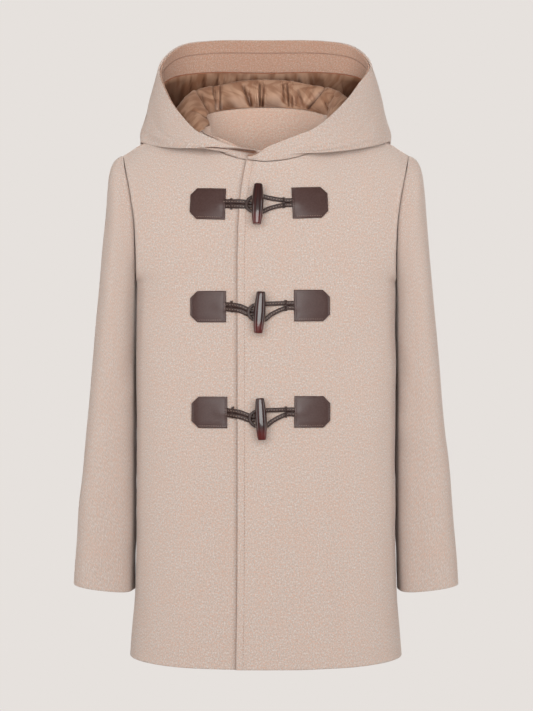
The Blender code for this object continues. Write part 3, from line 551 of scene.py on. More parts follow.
@dataclass(frozen=True)
class LeatherFinish(Finish):
    """Smooth dark leather with a fine grain and a worn sheen."""

    name: str = "brown_leather"
    roughness: float = 0.42
    color: Color = linear(72, 50, 47)
    worn: Color = linear(79, 57, 54)
    scale: float = 2600.0
    relief: float = 0.0001

    def make(self, group: bpy.types.NodeTree) -> bpy.types.Material:
        """Build the material around the shared grain group."""
        material, tree, shader = self.start(Specular_IOR_Level=0.42)
        grain = tree.add("ShaderNodeGroup", {"node_tree": group}, Vector=tree.object_place(),
                         Scale=self.scale)
        mask = grain.outputs["Mask"]
        rough = tree.math("MULTIPLY_ADD", mask, 0.12, self.roughness - 0.06)
        tree.feed(shader, Base_Color=tree.mix(mask, self.color, self.worn), Roughness=rough)
        self.raise_surface(tree, shader, grain.outputs["Height"], self.relief, 0.25)
        return material


@dataclass(frozen=True)
class HornFinish(Finish):
    """Polished imitation horn: dark oxblood with streaks along its length and a redder end."""

    name: str = "oxblood_horn"
    roughness: float = 0.30
    dark: Color = linear(34, 10, 11)
    streak: Color = linear(62, 24, 22)
    red: Color = linear(92, 18, 16)
    red_from: float = 0.017
    red_full: float = 0.006

    def make(self, group: bpy.types.NodeTree) -> bpy.types.Material:
        """Build the material around the shared grain group."""
        material, tree, shader = self.start(Specular_IOR_Level=0.35, Coat_Weight=0.9,
                                            Coat_Roughness=0.05)
        place = tree.cloth_place()
        streaks = tree.stretched(place, 420.0, 26.0)
        grain = tree.add("ShaderNodeGroup", {"node_tree": group}, Scale=1.0,
                         Vector=tree.scaled(place, 900.0, 120.0))
        along = tree.add("ShaderNodeSeparateXYZ", Vector=place).outputs[1]
        color = tree.mix(tree.ramp(streaks, 0.42, 0.66), self.dark, self.streak)
        color = tree.mix(tree.math("MULTIPLY", grain.outputs["Mask"], 0.25), color, self.streak)
        end = tree.math("MULTIPLY", tree.ramp(along, self.red_from, self.red_full), 0.75)
        tree.feed(shader, Base_Color=tree.mix(end, color, self.red))
        return material


@dataclass(frozen=True)
class ThreadFinish(Finish):
    """Twisted sewing thread."""

    name: str = "thread"
    roughness: float = 0.7
    color: Color = linear(190, 160, 144)

    def make(self) -> bpy.types.Material:
        """Build the material."""
        material, tree, shader = self.start(Sheen_Weight=0.1)
        twist = tree.noise(tree.object_place(), 1800.0, 1.0)
        dark = tuple(0.72 * part for part in self.color[:3]) + (1.0,)
        tree.feed(shader, Base_Color=tree.mix(twist, dark, self.color))
        return material


@dataclass(frozen=True)
class PaperFinish(Finish):
    """Plain pale studio paper; the light it gives back is weaker and warmer than it looks."""

    name: str = "studio_paper"
    roughness: float = 1.0
    color: Color = linear(230, 225, 221)
    given: Color = linear(230, 215, 205)
    given_back: float = 0.29

    def make(self) -> bpy.types.Material:
        """Build the material."""
        material, tree, shader = self.start(Base_Color=(0.0, 0.0, 0.0, 1.0), Specular_IOR_Level=0.0)
        seen = tree.add("ShaderNodeLightPath").outputs["Is Camera Ray"]
        strength = tree.math("MULTIPLY_ADD", seen, 1.0 - self.given_back, self.given_back)
        tree.feed(shader, Emission_Color=tree.mix(seen, self.given, self.color),
                  Emission_Strength=strength)
        return material


PAPER = PaperFinish()


class Palette:
    """Every material of the coat."""

    def __init__(self) -> None:
        """Build each material once, around the shared groups."""
        wool, grain = wool_group(), grain_group()
        self.wool = WoolFinish().make(wool)
        # painted light: a lighter, warmer copy of the wool for the neck facing, which lies in the hood's
        # shade
        self.brightened_wool = WoolFinish(
            name="brightened_melton", ground=linear(216, 192, 177), pale=linear(229, 216, 206),
            rosy=linear(224, 180, 157), dark=linear(190, 156, 136)).make(wool)
        self.band = WoolFinish(
            name="band_melton", ground=linear(196, 164, 145), pale=linear(212, 187, 173),
            rosy=linear(204, 154, 130), dark=linear(172, 134, 114)).make(wool)
        self.satin = SatinFinish().make()
        self.leather = LeatherFinish().make(grain)
        self.strap = LeatherFinish(name="strap_leather", color=linear(48, 29, 25),
                                   worn=linear(62, 40, 35), roughness=0.5).make(grain)
        self.horn = HornFinish().make(grain)
        self.seam_thread = ThreadFinish(name="rose_thread", color=linear(186, 150, 134)).make()
        self.edge_thread = ThreadFinish(name="rust_thread", color=linear(192, 126, 94)).make()
        self.leather_thread = ThreadFinish(name="taupe_thread", color=linear(160, 134, 120)).make()
        self.dark_thread = ThreadFinish(name="brown_thread", color=linear(66, 44, 40)).make()


# ------------------------------------------------------------------ cloth walls
class Edge(Enum):
    """How a side of a piece ends."""

    TURNED = "turned"
    SEAM = "seam"
    PLAIN = "plain"


ALL_TURNED = (Edge.TURNED,) * 4


@dataclass
class Cloth:
    """A closed thin wall between an outer face and an inner one, with finished edges.

    The edges are those at the first row, last row, first column and last column. The shares of
    the thickness say how far a turned edge is rounded and how deep a seam may sink.
    """

    name: str
    points: Array
    outward: Array
    thickness: float
    edges: tuple[Edge, Edge, Edge, Edge]
    closed: bool = False
    groove: float = 0.0009
    groove_width: float = 0.0016
    round_share: float = 0.49
    sink_share: float = 0.6
    inner_limit: Array | float = 1.0
    # painted shade at each point: how far the finish darkens the colour, standing in for shadow
    shade: Array | None = None

    def edge_distances(self) -> list[Array]:
        """Give each point's distance to the sides that are open."""
        down, across = run_lengths(self.points, 0), run_lengths(self.points, 1)
        ends = [down, down[-1:] - down]
        return ends if self.closed else ends + [across, across[:, -1:] - across]

    def faces_moved(self) -> tuple[Array, Array]:
        """Give the outer and inner grids with turned edges rounded and seams sunk."""
        radius = self.round_share * self.thickness
        turn, sink = np.zeros((2, *self.points.shape[:2]))
        for edge, far in zip(self.edges, self.edge_distances()):
            if edge is Edge.TURNED:
                short = np.clip(radius - far, 0.0, radius)
                turn = np.maximum(turn, radius - np.sqrt(np.maximum(radius ** 2 - short ** 2, 0.0)))
            elif edge is Edge.SEAM:
                sink = np.maximum(sink, self.groove * bell(far, self.groove_width))
        depth = np.minimum(self.thickness, self.inner_limit) + 0.0 * turn
        turn = np.minimum(turn, self.round_share * depth)
        sink = np.minimum(sink, self.sink_share * depth)
        return (moved(self.points, self.outward, -(turn + sink)),
                moved(self.points, self.outward, -(depth - turn)))

    def build(self, material: bpy.types.Material) -> bpy.types.Object:
        """Make the mesh with its cloth coordinates in metres.

        Args:
            material: The finish.

        Returns:
            The object, at the origin.
        """
        outer, inner = self.faces_moved()
        rows, columns = outer.shape[:2]
        size = rows * columns
        index = np.arange(size).reshape(rows, columns)
        u, v = run_lengths(self.points, 1), run_lengths(self.points, 0)
        uv = np.stack([u, v], axis=-1)
        if self.closed:
            index = ring_index(rows, columns)
            end = u[:, -1:] + np.linalg.norm(self.points[:, :1] - self.points[:, -1:], axis=-1)
            uv = np.concatenate([uv, np.stack([end, v[:, :1]], axis=-1)], axis=1)
        sides = [(index[0], uv[0], 1), (index[-1], uv[-1], -1)]
        if not self.closed:
            sides += [(index[:, 0], uv[:, 0], -1), (index[:, -1], uv[:, -1], 1)]
        face, face_uv = grid_faces(index), grid_faces(uv)
        faces, uvs = [face, face[:, ::-1] + size], [face_uv, face_uv[:, ::-1]]
        for line, line_uv, way in sides:
            faces.append(grid_faces(np.stack([line, line + size], axis=1))[:, ::way])
            uvs.append(grid_faces(np.stack([line_uv, line_uv], axis=1))[:, ::way])
        inverted = np.sum(grid_normals(self.points, self.closed) * self.outward) < 0.0
        way = -1 if inverted else 1
        vertices = np.concatenate([outer.reshape(-1, 3), inner.reshape(-1, 3)])
        made = make_object(self.name, vertices, np.concatenate(faces)[:, ::way], material,
                           np.concatenate(uvs)[:, ::way].reshape(-1, 2))
        if self.shade is not None:
            layer = made.data.attributes.new(SHADE, "FLOAT", "POINT")
            layer.data.foreach_set("value", np.tile(self.shade.ravel(), 2).astype(np.float32))
        return made


def make_object(name: str, vertices: Array, faces: Sequence[Sequence[int]],
                material: bpy.types.Material, uvs: Array | None = None) -> bpy.types.Object:
    """Make a smooth mesh object at the origin.

    Args:
        name: The piece's name.
        vertices: Points as rows.
        faces: Point numbers of each face.
        material: The finish.
        uvs: One pair for each corner of each face, or None.

    Returns:
        The object.
    """
    mesh = bpy.data.meshes.new(name)
    mesh.from_pydata(vertices.tolist(), [], [list(face) for face in faces])
    if uvs is not None:
        layer = mesh.uv_layers.new(name=UV_LAYER)
        layer.data.foreach_set("uv", np.ascontiguousarray(uvs, np.float32).ravel())
    mesh.materials.append(material)
    mesh.validate()
    mesh.shade_smooth()
    mesh.set_sharp_from_angle(angle=SHARP_ANGLE)
    return place_object(name, mesh)


def place_object(name: str, data: bpy.types.ID) -> bpy.types.Object:
    """Put a mesh, light or camera into the scene as an object."""
    made = bpy.data.objects.new(name, data)
    bpy.context.scene.collection.objects.link(made)
    return made


class Slot(Enum):
    """The material slots of the record."""

    WOOL = "wool"
    BAND = "band_wool"
    SATIN = "satin"
    LEATHER = "leather"
    HORN = "horn"


def dress(piece: bpy.types.Object, slot: Slot, *nodes: str) -> bpy.types.Object:
    """Seat a piece on the coat and let it stand for its nodes.

    Args:
        piece: The finished piece.
        slot: The record's slot for its finish; not used.
        *nodes: The solids that it stands for.

    Returns:
        The piece.
    """
    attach(piece, BODY)
    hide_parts(*nodes)
    LOG.info("%s: %d faces", piece.name, len(piece.data.polygons))
    return piece


# ------------------------------------------------------------------ stitches
@dataclass(frozen=True)
class Stitch:
    """One kind of stitch; uneven says how much stitches turn aside, by chance from the seed."""

    pitch: float = 0.0032
    length: float = 0.0024
    radius: float = 0.00028
    uneven: float = 0.05
    seed: int = 7


class Sewing:
    """Stitches along paths, laid by one geometry node tree."""

    def __init__(self) -> None:
        """Build the tree: resample each path, set a stitch on each point and make them real."""
        self.tree = bpy.data.node_groups.new("stitches", "GeometryNodeTree")
        face = self.tree.interface
        inputs = {"Geometry": "Geometry", "Pitch": "Float", "Length": "Float", "Radius": "Float",
                  "Unevenness": "Float", "Seed": "Int", "Thread": "Material"}
        self.sockets = {name: face.new_socket(name, in_out="INPUT", socket_type="NodeSocket" + kind)
                        .identifier for name, kind in inputs.items()}
        face.new_socket("Geometry", in_out="OUTPUT", socket_type="NodeSocketGeometry")
        maker = Tree(self.tree)
        given = maker.add("NodeGroupInput").outputs
        curve = maker.add("GeometryNodeMeshToCurve", Mesh=given["Geometry"])
        even = maker.add("GeometryNodeResampleCurve", {"mode": "LENGTH"}, Curve=curve.outputs[0],
                         Length=given["Pitch"])
        ball = maker.add("GeometryNodeMeshUVSphere", Segments=6, Rings=4, Radius=1.0)
        half = maker.math("MULTIPLY", given["Length"], 0.5)
        size = maker.add("ShaderNodeCombineXYZ", i0=given["Radius"], i1=given["Radius"], i2=half)
        stitch = maker.add("GeometryNodeTransform", Geometry=ball.outputs[0],
                           Scale=size.outputs[0])
        tangent = maker.add("GeometryNodeInputTangent")
        low, high = (maker.add("ShaderNodeVectorMath", {"operation": "SCALE"}, i0=(end,) * 3,
                               Scale=given["Unevenness"]) for end in (-1.0, 1.0))
        chance = maker.add("FunctionNodeRandomValue", {"data_type": "FLOAT_VECTOR"},
                           i0=low.outputs[0], i1=high.outputs[0], Seed=given["Seed"])
        aim = maker.add("ShaderNodeVectorMath", {"operation": "ADD"}, i0=tangent.outputs[0],
                        i1=chance.outputs[0])
        turn = maker.add("FunctionNodeAlignRotationToVector", {"axis": "Z"},
                         Vector=aim.outputs[0])
        laid = maker.add("GeometryNodeInstanceOnPoints", Points=even.outputs[0],
                         Instance=stitch.outputs[0], Rotation=turn.outputs[0])
        real = maker.add("GeometryNodeRealizeInstances", Geometry=laid.outputs[0])
        done = maker.add("GeometryNodeSetMaterial", Geometry=real.outputs[0],
                         Material=given["Thread"])
        maker.add("NodeGroupOutput", i0=done.outputs[0])

    def sew(self, name: str, paths: Sequence[Array], thread: bpy.types.Material,
            stitch: Stitch = Stitch()) -> None:
        """Sew stitches along paths, as one plain mesh.

        Args:
            name: The piece's name.
            paths: Points as rows, one array for each line.
            thread: The finish.
            stitch: The kind of stitch.
        """
        edges = []
        start = 0
        for path in paths:
            edges += [(start + i, start + i + 1) for i in range(len(path) - 1)]
            start += len(path)
        guide = bpy.data.meshes.new(name + "_guide")
        guide.from_pydata(np.concatenate(paths).tolist(), edges, [])
        carrier = place_object(name + "_guide", guide)
        sewing = carrier.modifiers.new("stitches", "NODES")
        sewing.node_group = self.tree
        values = {"Pitch": stitch.pitch, "Length": stitch.length, "Radius": stitch.radius,
                  "Unevenness": stitch.uneven, "Seed": stitch.seed, "Thread": thread}
        for socket, value in values.items():
            sewing[self.sockets[socket]] = value
        graph = bpy.context.evaluated_depsgraph_get()
        mesh = bpy.data.meshes.new_from_object(carrier.evaluated_get(graph))
        mesh.name = name
        mesh.shade_smooth()
        bpy.data.objects.remove(carrier)
        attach(place_object(name, mesh), BODY)
        LOG.info("%s: %d faces", name, len(mesh.polygons))


# ------------------------------------------------------------------ the body's cut
class Section(NamedTuple):
    """The body at one height."""

    z: float
    half_width: float
    front: float
    back: float


class Neck(NamedTuple):
    """Half of the neckline: turn 0 is the front centre, 1 the neck point, 2 the back centre."""

    turn: float
    x: float
    y: float
    z: float


class Shoulder(NamedTuple):
    """The shoulder seam from the neck point to the shoulder tip."""

    share: float
    x: float
    z: float


class Armhole(NamedTuple):
    """The armhole from the armpit to the shoulder tip."""

    rise: float
    x: float
    front_y: float
    back_y: float
    z: float


SECTIONS = (
    Section(-0.613, 0.1622, 0.1180, 0.1120),
    Section(-0.570, 0.1589, 0.1170, 0.1110),
    Section(-0.535, 0.1567, 0.1160, 0.1100),
    Section(-0.465, 0.1550, 0.1145, 0.1085),
    Section(-0.400, 0.1545, 0.1135, 0.1070),
    Section(-0.280, 0.1548, 0.1115, 0.1050),
    Section(-0.165, 0.1552, 0.1090, 0.1030),
)
NECKLINE = (
    Neck(0.00, 0.000, -0.0852, -0.0280),
    Neck(0.34, 0.0226, -0.0840, -0.0254),
    Neck(0.58, 0.041, -0.0775, -0.0205),
    Neck(0.76, 0.055, -0.0640, -0.0130),
    Neck(0.90, 0.067, -0.0350, 0.0010),
    Neck(1.00, 0.074, 0.0000, 0.0220),
    Neck(1.15, 0.071, 0.0220, 0.0255),
    Neck(1.35, 0.060, 0.0450, 0.0280),
    Neck(1.60, 0.038, 0.0600, 0.0290),
    Neck(2.00, 0.000, 0.0660, 0.0293),
)
SHOULDER = (
    Shoulder(0.62, 0.074, 0.0220),
    Shoulder(0.72, 0.100, 0.0155),
    Shoulder(0.82, 0.127, 0.0078),
    Shoulder(0.91, 0.150, 0.0000),
    Shoulder(1.00, 0.1717, -0.0125),
)
ARMHOLE = (
    Armhole(0.00, 0.1552, 0.000, 0.000, -0.1650),
    Armhole(0.06, 0.1548, -0.020, 0.019, -0.1600),
    Armhole(0.14, 0.1540, -0.036, 0.035, -0.1460),
    Armhole(0.25, 0.1538, -0.048, 0.048, -0.1220),
    Armhole(0.40, 0.1550, -0.053, 0.054, -0.0950),
    Armhole(0.55, 0.1585, -0.050, 0.051, -0.0690),
    Armhole(0.70, 0.1630, -0.041, 0.042, -0.0470),
    Armhole(0.85, 0.1680, -0.024, 0.025, -0.0280),
    Armhole(1.00, 0.1717, 0.000, 0.000, -0.0125),
)


def neckline(turn: Array) -> Array:
    """Give points of the neckline; a negative turn is its mirror."""
    x, y, z = look_up(NECKLINE, np.abs(turn), "x", "y", "z")
    return stack(np.copysign(x, turn), y, z)


def superellipse(share: Array, power: float) -> Array:
    """Give the height of a rounded square of half size 1 at a share of its half width."""
    return np.maximum(1.0 - np.abs(share) ** power, 0.0) ** (1.0 / power)


@dataclass(frozen=True)
class BodyForm:
    """The body's worn shape. A side is -1 at the front and 1 at the back."""

    hem_z: float = -0.613
    hem_rise: float = 0.0030
    armpit_z: float = -0.165
    section_power: float = 2.4
    shoulder_power: float = 2.2
    edge_share: float = 0.213
    under_share: float = 0.215
    lap_lift: float = 0.0034
    lap_end: float = 0.25
    lap_fade: float = 0.50
    neck_share: float = 0.62
    seam: float = 0.00015
    half_chest: float = 0.155
    yoke_height: float = 0.30
    level_step: float = 0.45

    def armhole(self, rise: Array, side: int) -> Array:
        """Give points of the armhole."""
        x, y, z = look_up(ARMHOLE, rise, "x", "front_y" if side < 0 else "back_y", "z")
        return stack(x, y + side * self.seam, z)

    def top(self, share: Array, side: int) -> Array:
        """Give the upper ends of the body's columns."""
        size = np.abs(share)
        part = np.minimum(size / self.neck_share, 1.0)
        on_neck = neckline(part if side < 0 else 2.0 - part)
        x, z = look_up(SHOULDER, size, "x", "z")
        point = np.where((size <= self.neck_share)[..., None], on_neck, stack(x, 0.0, z))
        point[..., 0] = np.copysign(point[..., 0], share)
        return point

    def section(self, share: Array, z: Array, side: int) -> Array:
        """Give points of the body's section at heights."""
        half_width, depth = look_up(SECTIONS, z, "half_width", "front" if side < 0 else "back")
        return stack(share * half_width, side * depth * superellipse(share, self.section_power), z)

    def yoke(self, share: Array, rise: Array, side: int) -> Array:
        """Give points above the armpit; rise is 0 there and 1 at the top edge."""
        def plain(share: Array) -> Array:
            """Give the surface before it is fitted to the armhole."""
            base = self.section(share, np.full_like(share, self.armpit_z), side)
            top = self.top(share, side)
            used = 0.62 + 0.36 * smooth_step(0.15, self.neck_share + 0.05, np.abs(share))
            lift = np.sin(np.pi * rise / 2.0)
            rest = superellipse(used, self.shoulder_power)
            depth = (superellipse(lift * used, self.shoulder_power) - rest) / (1.0 - rest)
            return np.stack([base[..., 0] + (top[..., 0] - base[..., 0]) * lift ** 3,
                             top[..., 1] + (base[..., 1] - top[..., 1]) * depth,
                             base[..., 2] + (top[..., 2] - base[..., 2]) * lift], axis=-1)

        edge = self.armhole(rise, side) - plain(np.ones_like(share))
        edge[..., 0] = np.copysign(1.0, share) * edge[..., 0]
        return moved(plain(share), edge, np.abs(share) ** 10)

    def point(self, share: Array, level: Array, side: int) -> Array:
        """Give points of the body; level is 0 at the hem, 1 at the armpit and 2 at the top."""
        share, level = np.broadcast_arrays(np.asarray(share, float), np.asarray(level, float))
        hem = self.hem_z + self.hem_rise * share ** 4
        low = self.section(share, hem + (self.armpit_z - hem) * np.minimum(level, 1.0), side)
        high = self.yoke(share, np.clip(level - 1.0, 0.0, 1.0), side)
        return np.where((level <= 1.0)[..., None], low, high)

    def over_lift(self, share: Array) -> Array:
        """Tell how far the over front lies out from the under front."""
        return self.lap_lift * (1.0 - smooth_step(self.lap_end, self.lap_fade, share))

    def front(self, share: Array, level: Array) -> Array:
        """Give points of the closed front, the over front included."""
        share, level = np.broadcast_arrays(np.asarray(share, float), np.asarray(level, float))
        out = np.where(share > -self.edge_share, self.over_lift(share), 0.0)
        return moved(self.point(share, level, -1), FORWARD, out)

    def front_at(self, x: Array, z: Array) -> tuple[Array, Array]:
        """Find the front's points and outward normals at places seen from in front.

        Args:
            x: Across.
            z: Up.

        Returns:
            Points and unit normals.
        """
        x, z = np.broadcast_arrays(np.asarray(x, float), np.asarray(z, float))
        share = x / self.half_chest
        level = (z - self.hem_z) / (self.armpit_z - self.hem_z)
        level = np.where(level > 1.0, 1.0 + (z - self.armpit_z) / self.yoke_height, level)
        for _ in range(30):
            found = self.front(share, level)
            share = share + (x - found[..., 0]) / self.half_chest
            level = level + (z - found[..., 2]) / self.level_step
        step = 0.01
        along = self.front(share + step, level) - self.front(share - step, level)
        across = self.front(share, level + step) - self.front(share, level - step)
        return self.front(share, level), unit(np.cross(along, across))

    def lifted(self, x: float, z: float, out: float) -> Array:
        """Give a point that lies out from the front."""
        point, _ = self.front_at(x, z)
        return np.array([x, float(point[1]) - out, z])

    def levels(self, low_rows: int, high_rows: int, high: float) -> Array:
        """Give the rows of a panel from hem to top; high is its height above the armpit."""
        low = edged_steps(low_rows, self.armpit_z - self.hem_z, last=False)
        return np.unique(np.concatenate([low, 1.0 + edged_steps(high_rows, high, first=False)]))


FORM = BodyForm()

# Soft folds, u across from the centre line and v up, in metres on the worn coat.
FRONT_FOLDS = (
    Crease(0.150, -0.190, 0.085, -0.300, 0.020, 0.0012),
    Crease(0.148, -0.140, 0.112, -0.230, 0.013, 0.0009),
    Crease(0.120, -0.420, 0.128, -0.640, 0.019, 0.0014),
    Crease(0.062, -0.470, 0.057, -0.640, 0.024, 0.0011),
    Crease(0.150, -0.470, 0.146, -0.600, 0.012, 0.0010),
    Crease(0.020, -0.280, 0.052, -0.420, 0.026, 0.0006),
    Crease(0.108, -0.040, 0.150, -0.085, 0.014, 0.0007),
    Crease(0.012, -0.520, 0.006, -0.640, 0.020, 0.0006),
)
BACK_FOLDS = (
    Crease(0.150, -0.180, 0.080, -0.290, 0.018, 0.0026),
    Crease(-0.151, -0.190, -0.090, -0.320, 0.019, 0.0023),
    Crease(0.030, -0.240, 0.052, -0.640, 0.024, 0.0030),
    Crease(-0.046, -0.280, -0.060, -0.640, 0.022, 0.0032),
    Crease(0.105, -0.380, 0.118, -0.640, 0.019, 0.0026),
    Crease(-0.118, -0.420, -0.122, -0.640, 0.018, 0.0022),
    Crease(-0.080, -0.110, 0.086, -0.118, 0.014, 0.0014),
    Crease(0.008, -0.360, 0.000, -0.640, 0.020, 0.0016),
)


@dataclass
class Fronts:
    """The two fronts: the wearer's left one laps over the right one."""

    thickness: float = 0.0026
    columns: int = 46
    low_rows: int = 108
    high_rows: int = 52
    width: float = 0.22
    height_above: float = 0.170
    stitch_inset: float = 0.0080
    stitch_width: float = 0.0008
    stitch_sink: float = 0.00035
    patch_middle: float = 0.01
    patch_reach: float = 0.075
    # painted shade: widths and strengths of the darkening painted along the groove, edges and side seams
    shadow_width: float = 0.0028
    side_shade: float = 0.7
    stitch_shade: float = 0.30
    edge_shade: float = 0.5
    lap_shade: float = 0.40

    def grid(self, start: float, lap: bool, seed: int) -> tuple[Array, Array, Array]:
        """Lay the panel's points with its soft folds and swells.

        Args:
            start: Share of the half width where its front edge is.
            lap: True for the front that lies over the other.
            seed: Fixes the swells.

        Returns:
            Points, outward normals and where the over front's edge lies across, at each point.
        """
        first = math.asin(start)
        turn = first + (math.pi / 2.0 - first) * edged_steps(self.columns, self.width)
        levels = FORM.levels(self.low_rows, self.high_rows, self.height_above)
        share, level = np.meshgrid(np.sin(turn), levels)
        points = FORM.point(share, level, -1)
        if lap:
            points = moved(points, FORWARD, FORM.over_lift(share))
        points[..., 1] = np.minimum(points[..., 1], -FORM.seam)
        normals = facing(points, FORWARD)
        u, v = points[..., 0], points[..., 2]
        side, down = run_lengths(points, 1), run_lengths(points, 0)
        keep = smooth_step(0.0, 0.012, side[:, -1:] - side) * smooth_step(0.0, 0.016, down[-1:] - down)
        keep *= 0.25 + 0.75 * smooth_step(0.0, 0.012, side)
        behind = bell(np.abs(u - self.patch_middle), self.patch_reach, 4.0)
        keep *= 1.0 - 0.8 * behind * smooth_step(-0.40, -0.36, v)
        depth = crease_depth(u, v, FRONT_FOLDS) + soft_wave(u, v, 0.11, 0.00035, seed)
        edge = FORM.point(np.full_like(share, -FORM.edge_share), level, -1)[..., 0]
        return moved(points, normals, -depth * keep), normals, edge

    def shadow(self, points: Array) -> Array:
        """Darken a panel where it turns to its side seam behind the sleeve."""
        side = run_lengths(points, 1)
        below = hump(-0.600, -0.560, -0.150, -0.085, points[..., 2])
        return self.side_shade * below * bell(side[:, -1:] - side, self.shadow_width, 4.0)

    def build(self, palette: Palette) -> None:
        """Make both fronts."""
        edges = (Edge.TURNED, Edge.SEAM, Edge.TURNED, Edge.SEAM)
        points, normals, _ = self.grid(-FORM.edge_share, True, 3)
        side = run_lengths(points, 1)
        line = bell(side - self.stitch_inset, self.stitch_width)
        points = moved(points, normals, -self.stitch_sink * line)
        # painted shade along the topstitch groove and the over front's edge, and at the side seam
        shade = self.stitch_shade * line + self.edge_shade * bell(side, 0.0005) + self.shadow(points)
        left = Cloth("front_left_cloth", points, facing(points, normals), self.thickness, edges,
                     shade=shade).build(palette.wool)
        dress(left, Slot.WOOL, "front_left")

        points, normals, edge = self.grid(-FORM.under_share, False, 5)
        points = mirrored(points, -1)
        beside = np.maximum(edge - points[..., 0], 0.0)
        # painted shadow of the over front's edge on the under front, and painted shade at the side seam
        shade = self.lap_shade * bell(beside, self.stitch_width) + self.shadow(points)
        right = Cloth("front_right_cloth", points, facing(points, FORWARD), self.thickness, edges,
                      shade=shade).build(palette.wool)
        dress(right, Slot.WOOL, "front_right")

    def stitch_path(self) -> Array:
        """Give the line of topstitching beside the front edge."""
        level = np.linspace(0.004, 1.985, 400)
        edge = FORM.front(np.full_like(level, -FORM.edge_share + 0.002), level)
        share = np.full_like(level, -FORM.edge_share + 0.05)
        for _ in range(12):
            point = FORM.front(share, level)
            share = share + (edge[:, 0] + self.stitch_inset - point[:, 0]) / 0.16
        return FORM.front(share, level) + STITCH_OUT * FORWARD


@dataclass
class Back:
    """The back in one piece, from side seam to side seam."""

    thickness: float = 0.0026
    columns: int = 80
    low_rows: int = 100
    high_rows: int = 46
    width: float = 0.42
    height_above: float = 0.180

    def build(self, palette: Palette) -> None:
        """Make the back."""
        turn = (edged_steps(self.columns, self.width) - 0.5) * math.pi
        levels = FORM.levels(self.low_rows, self.high_rows, self.height_above)
        share, level = np.meshgrid(np.sin(turn), levels)
        points = FORM.point(share, level, 1)
        points[..., 1] = np.maximum(points[..., 1], FORM.seam)
        normals = facing(points, -FORWARD)
        u, v = points[..., 0], points[..., 2]
        side, down = run_lengths(points, 1), run_lengths(points, 0)
        keep = smooth_step(0.0, 0.014, np.minimum(side, side[:, -1:] - side))
        keep = keep * smooth_step(0.0, 0.016, down[-1:] - down)
        depth = crease_depth(u, v, BACK_FOLDS) + soft_wave(u, v, 0.12, 0.0006, 11)
        points = moved(points, normals, -depth * keep)
        edges = (Edge.TURNED, Edge.SEAM, Edge.SEAM, Edge.SEAM)
        back = Cloth("back_cloth", points, facing(points, normals), self.thickness,
                     edges).build(palette.wool)
        dress(back, Slot.WOOL, "back")


# ------------------------------------------------------------------ sleeves
class Ring(NamedTuple):
    """One ring of the sleeve; cap says how much of the armhole's own shape it keeps."""

    outer_x: float
    outer_z: float
    inner_x: float
    inner_z: float
    half_depth: float
    middle_y: float
    cap: float


SLEEVE = (
    Ring(0.1717, -0.0125, 0.1552, -0.1650, 0.0530, 0.000, 1.00),
    Ring(0.1806, -0.0185, 0.1559, -0.1680, 0.0560, 0.000, 0.70),
    Ring(0.1862, -0.0300, 0.1563, -0.1720, 0.0572, 0.000, 0.42),
    Ring(0.1891, -0.0500, 0.1567, -0.1790, 0.0570, 0.000, 0.20),
    Ring(0.1918, -0.0850, 0.1571, -0.1930, 0.0560, 0.000, 0.06),
    Ring(0.2001, -0.1750, 0.1576, -0.2450, 0.0530, -0.002, 0.00),
    Ring(0.2057, -0.2400, 0.1577, -0.2880, 0.0510, -0.003, 0.00),
    Ring(0.2118, -0.3050, 0.1577, -0.3380, 0.0495, -0.004, 0.00),
    Ring(0.2190, -0.3850, 0.1577, -0.4030, 0.0470, -0.005, 0.00),
    Ring(0.2240, -0.4400, 0.1580, -0.4540, 0.0455, -0.006, 0.00),
    Ring(0.2297, -0.5190, 0.1598, -0.5270, 0.0431, -0.006, 0.00),
    Ring(0.2300, -0.5258, 0.1600, -0.5340, 0.0428, -0.006, 0.00),
)
# Soft folds of the sleeve: u is the share of a turn from the armpit over the front, times the
# sleeve's girth, and v is the way down from the shoulder tip.
SLEEVE_FOLDS = (
    Crease(0.030, 0.215, 0.092, 0.262, 0.011, 0.0013),
    Crease(0.018, 0.262, 0.074, 0.312, 0.012, 0.0012),
    Crease(0.102, 0.150, 0.125, 0.290, 0.017, 0.0008),
    Crease(0.016, 0.140, 0.052, 0.205, 0.012, 0.0010),
    Crease(0.028, 0.400, 0.088, 0.432, 0.012, 0.0008),
    Crease(0.182, 0.190, 0.225, 0.252, 0.013, 0.0018),
    Crease(0.170, 0.250, 0.215, 0.300, 0.012, 0.0020),
    Crease(0.178, 0.310, 0.222, 0.345, 0.013, 0.0014),
    Crease(0.160, 0.420, 0.210, 0.400, 0.014, 0.0010),
)


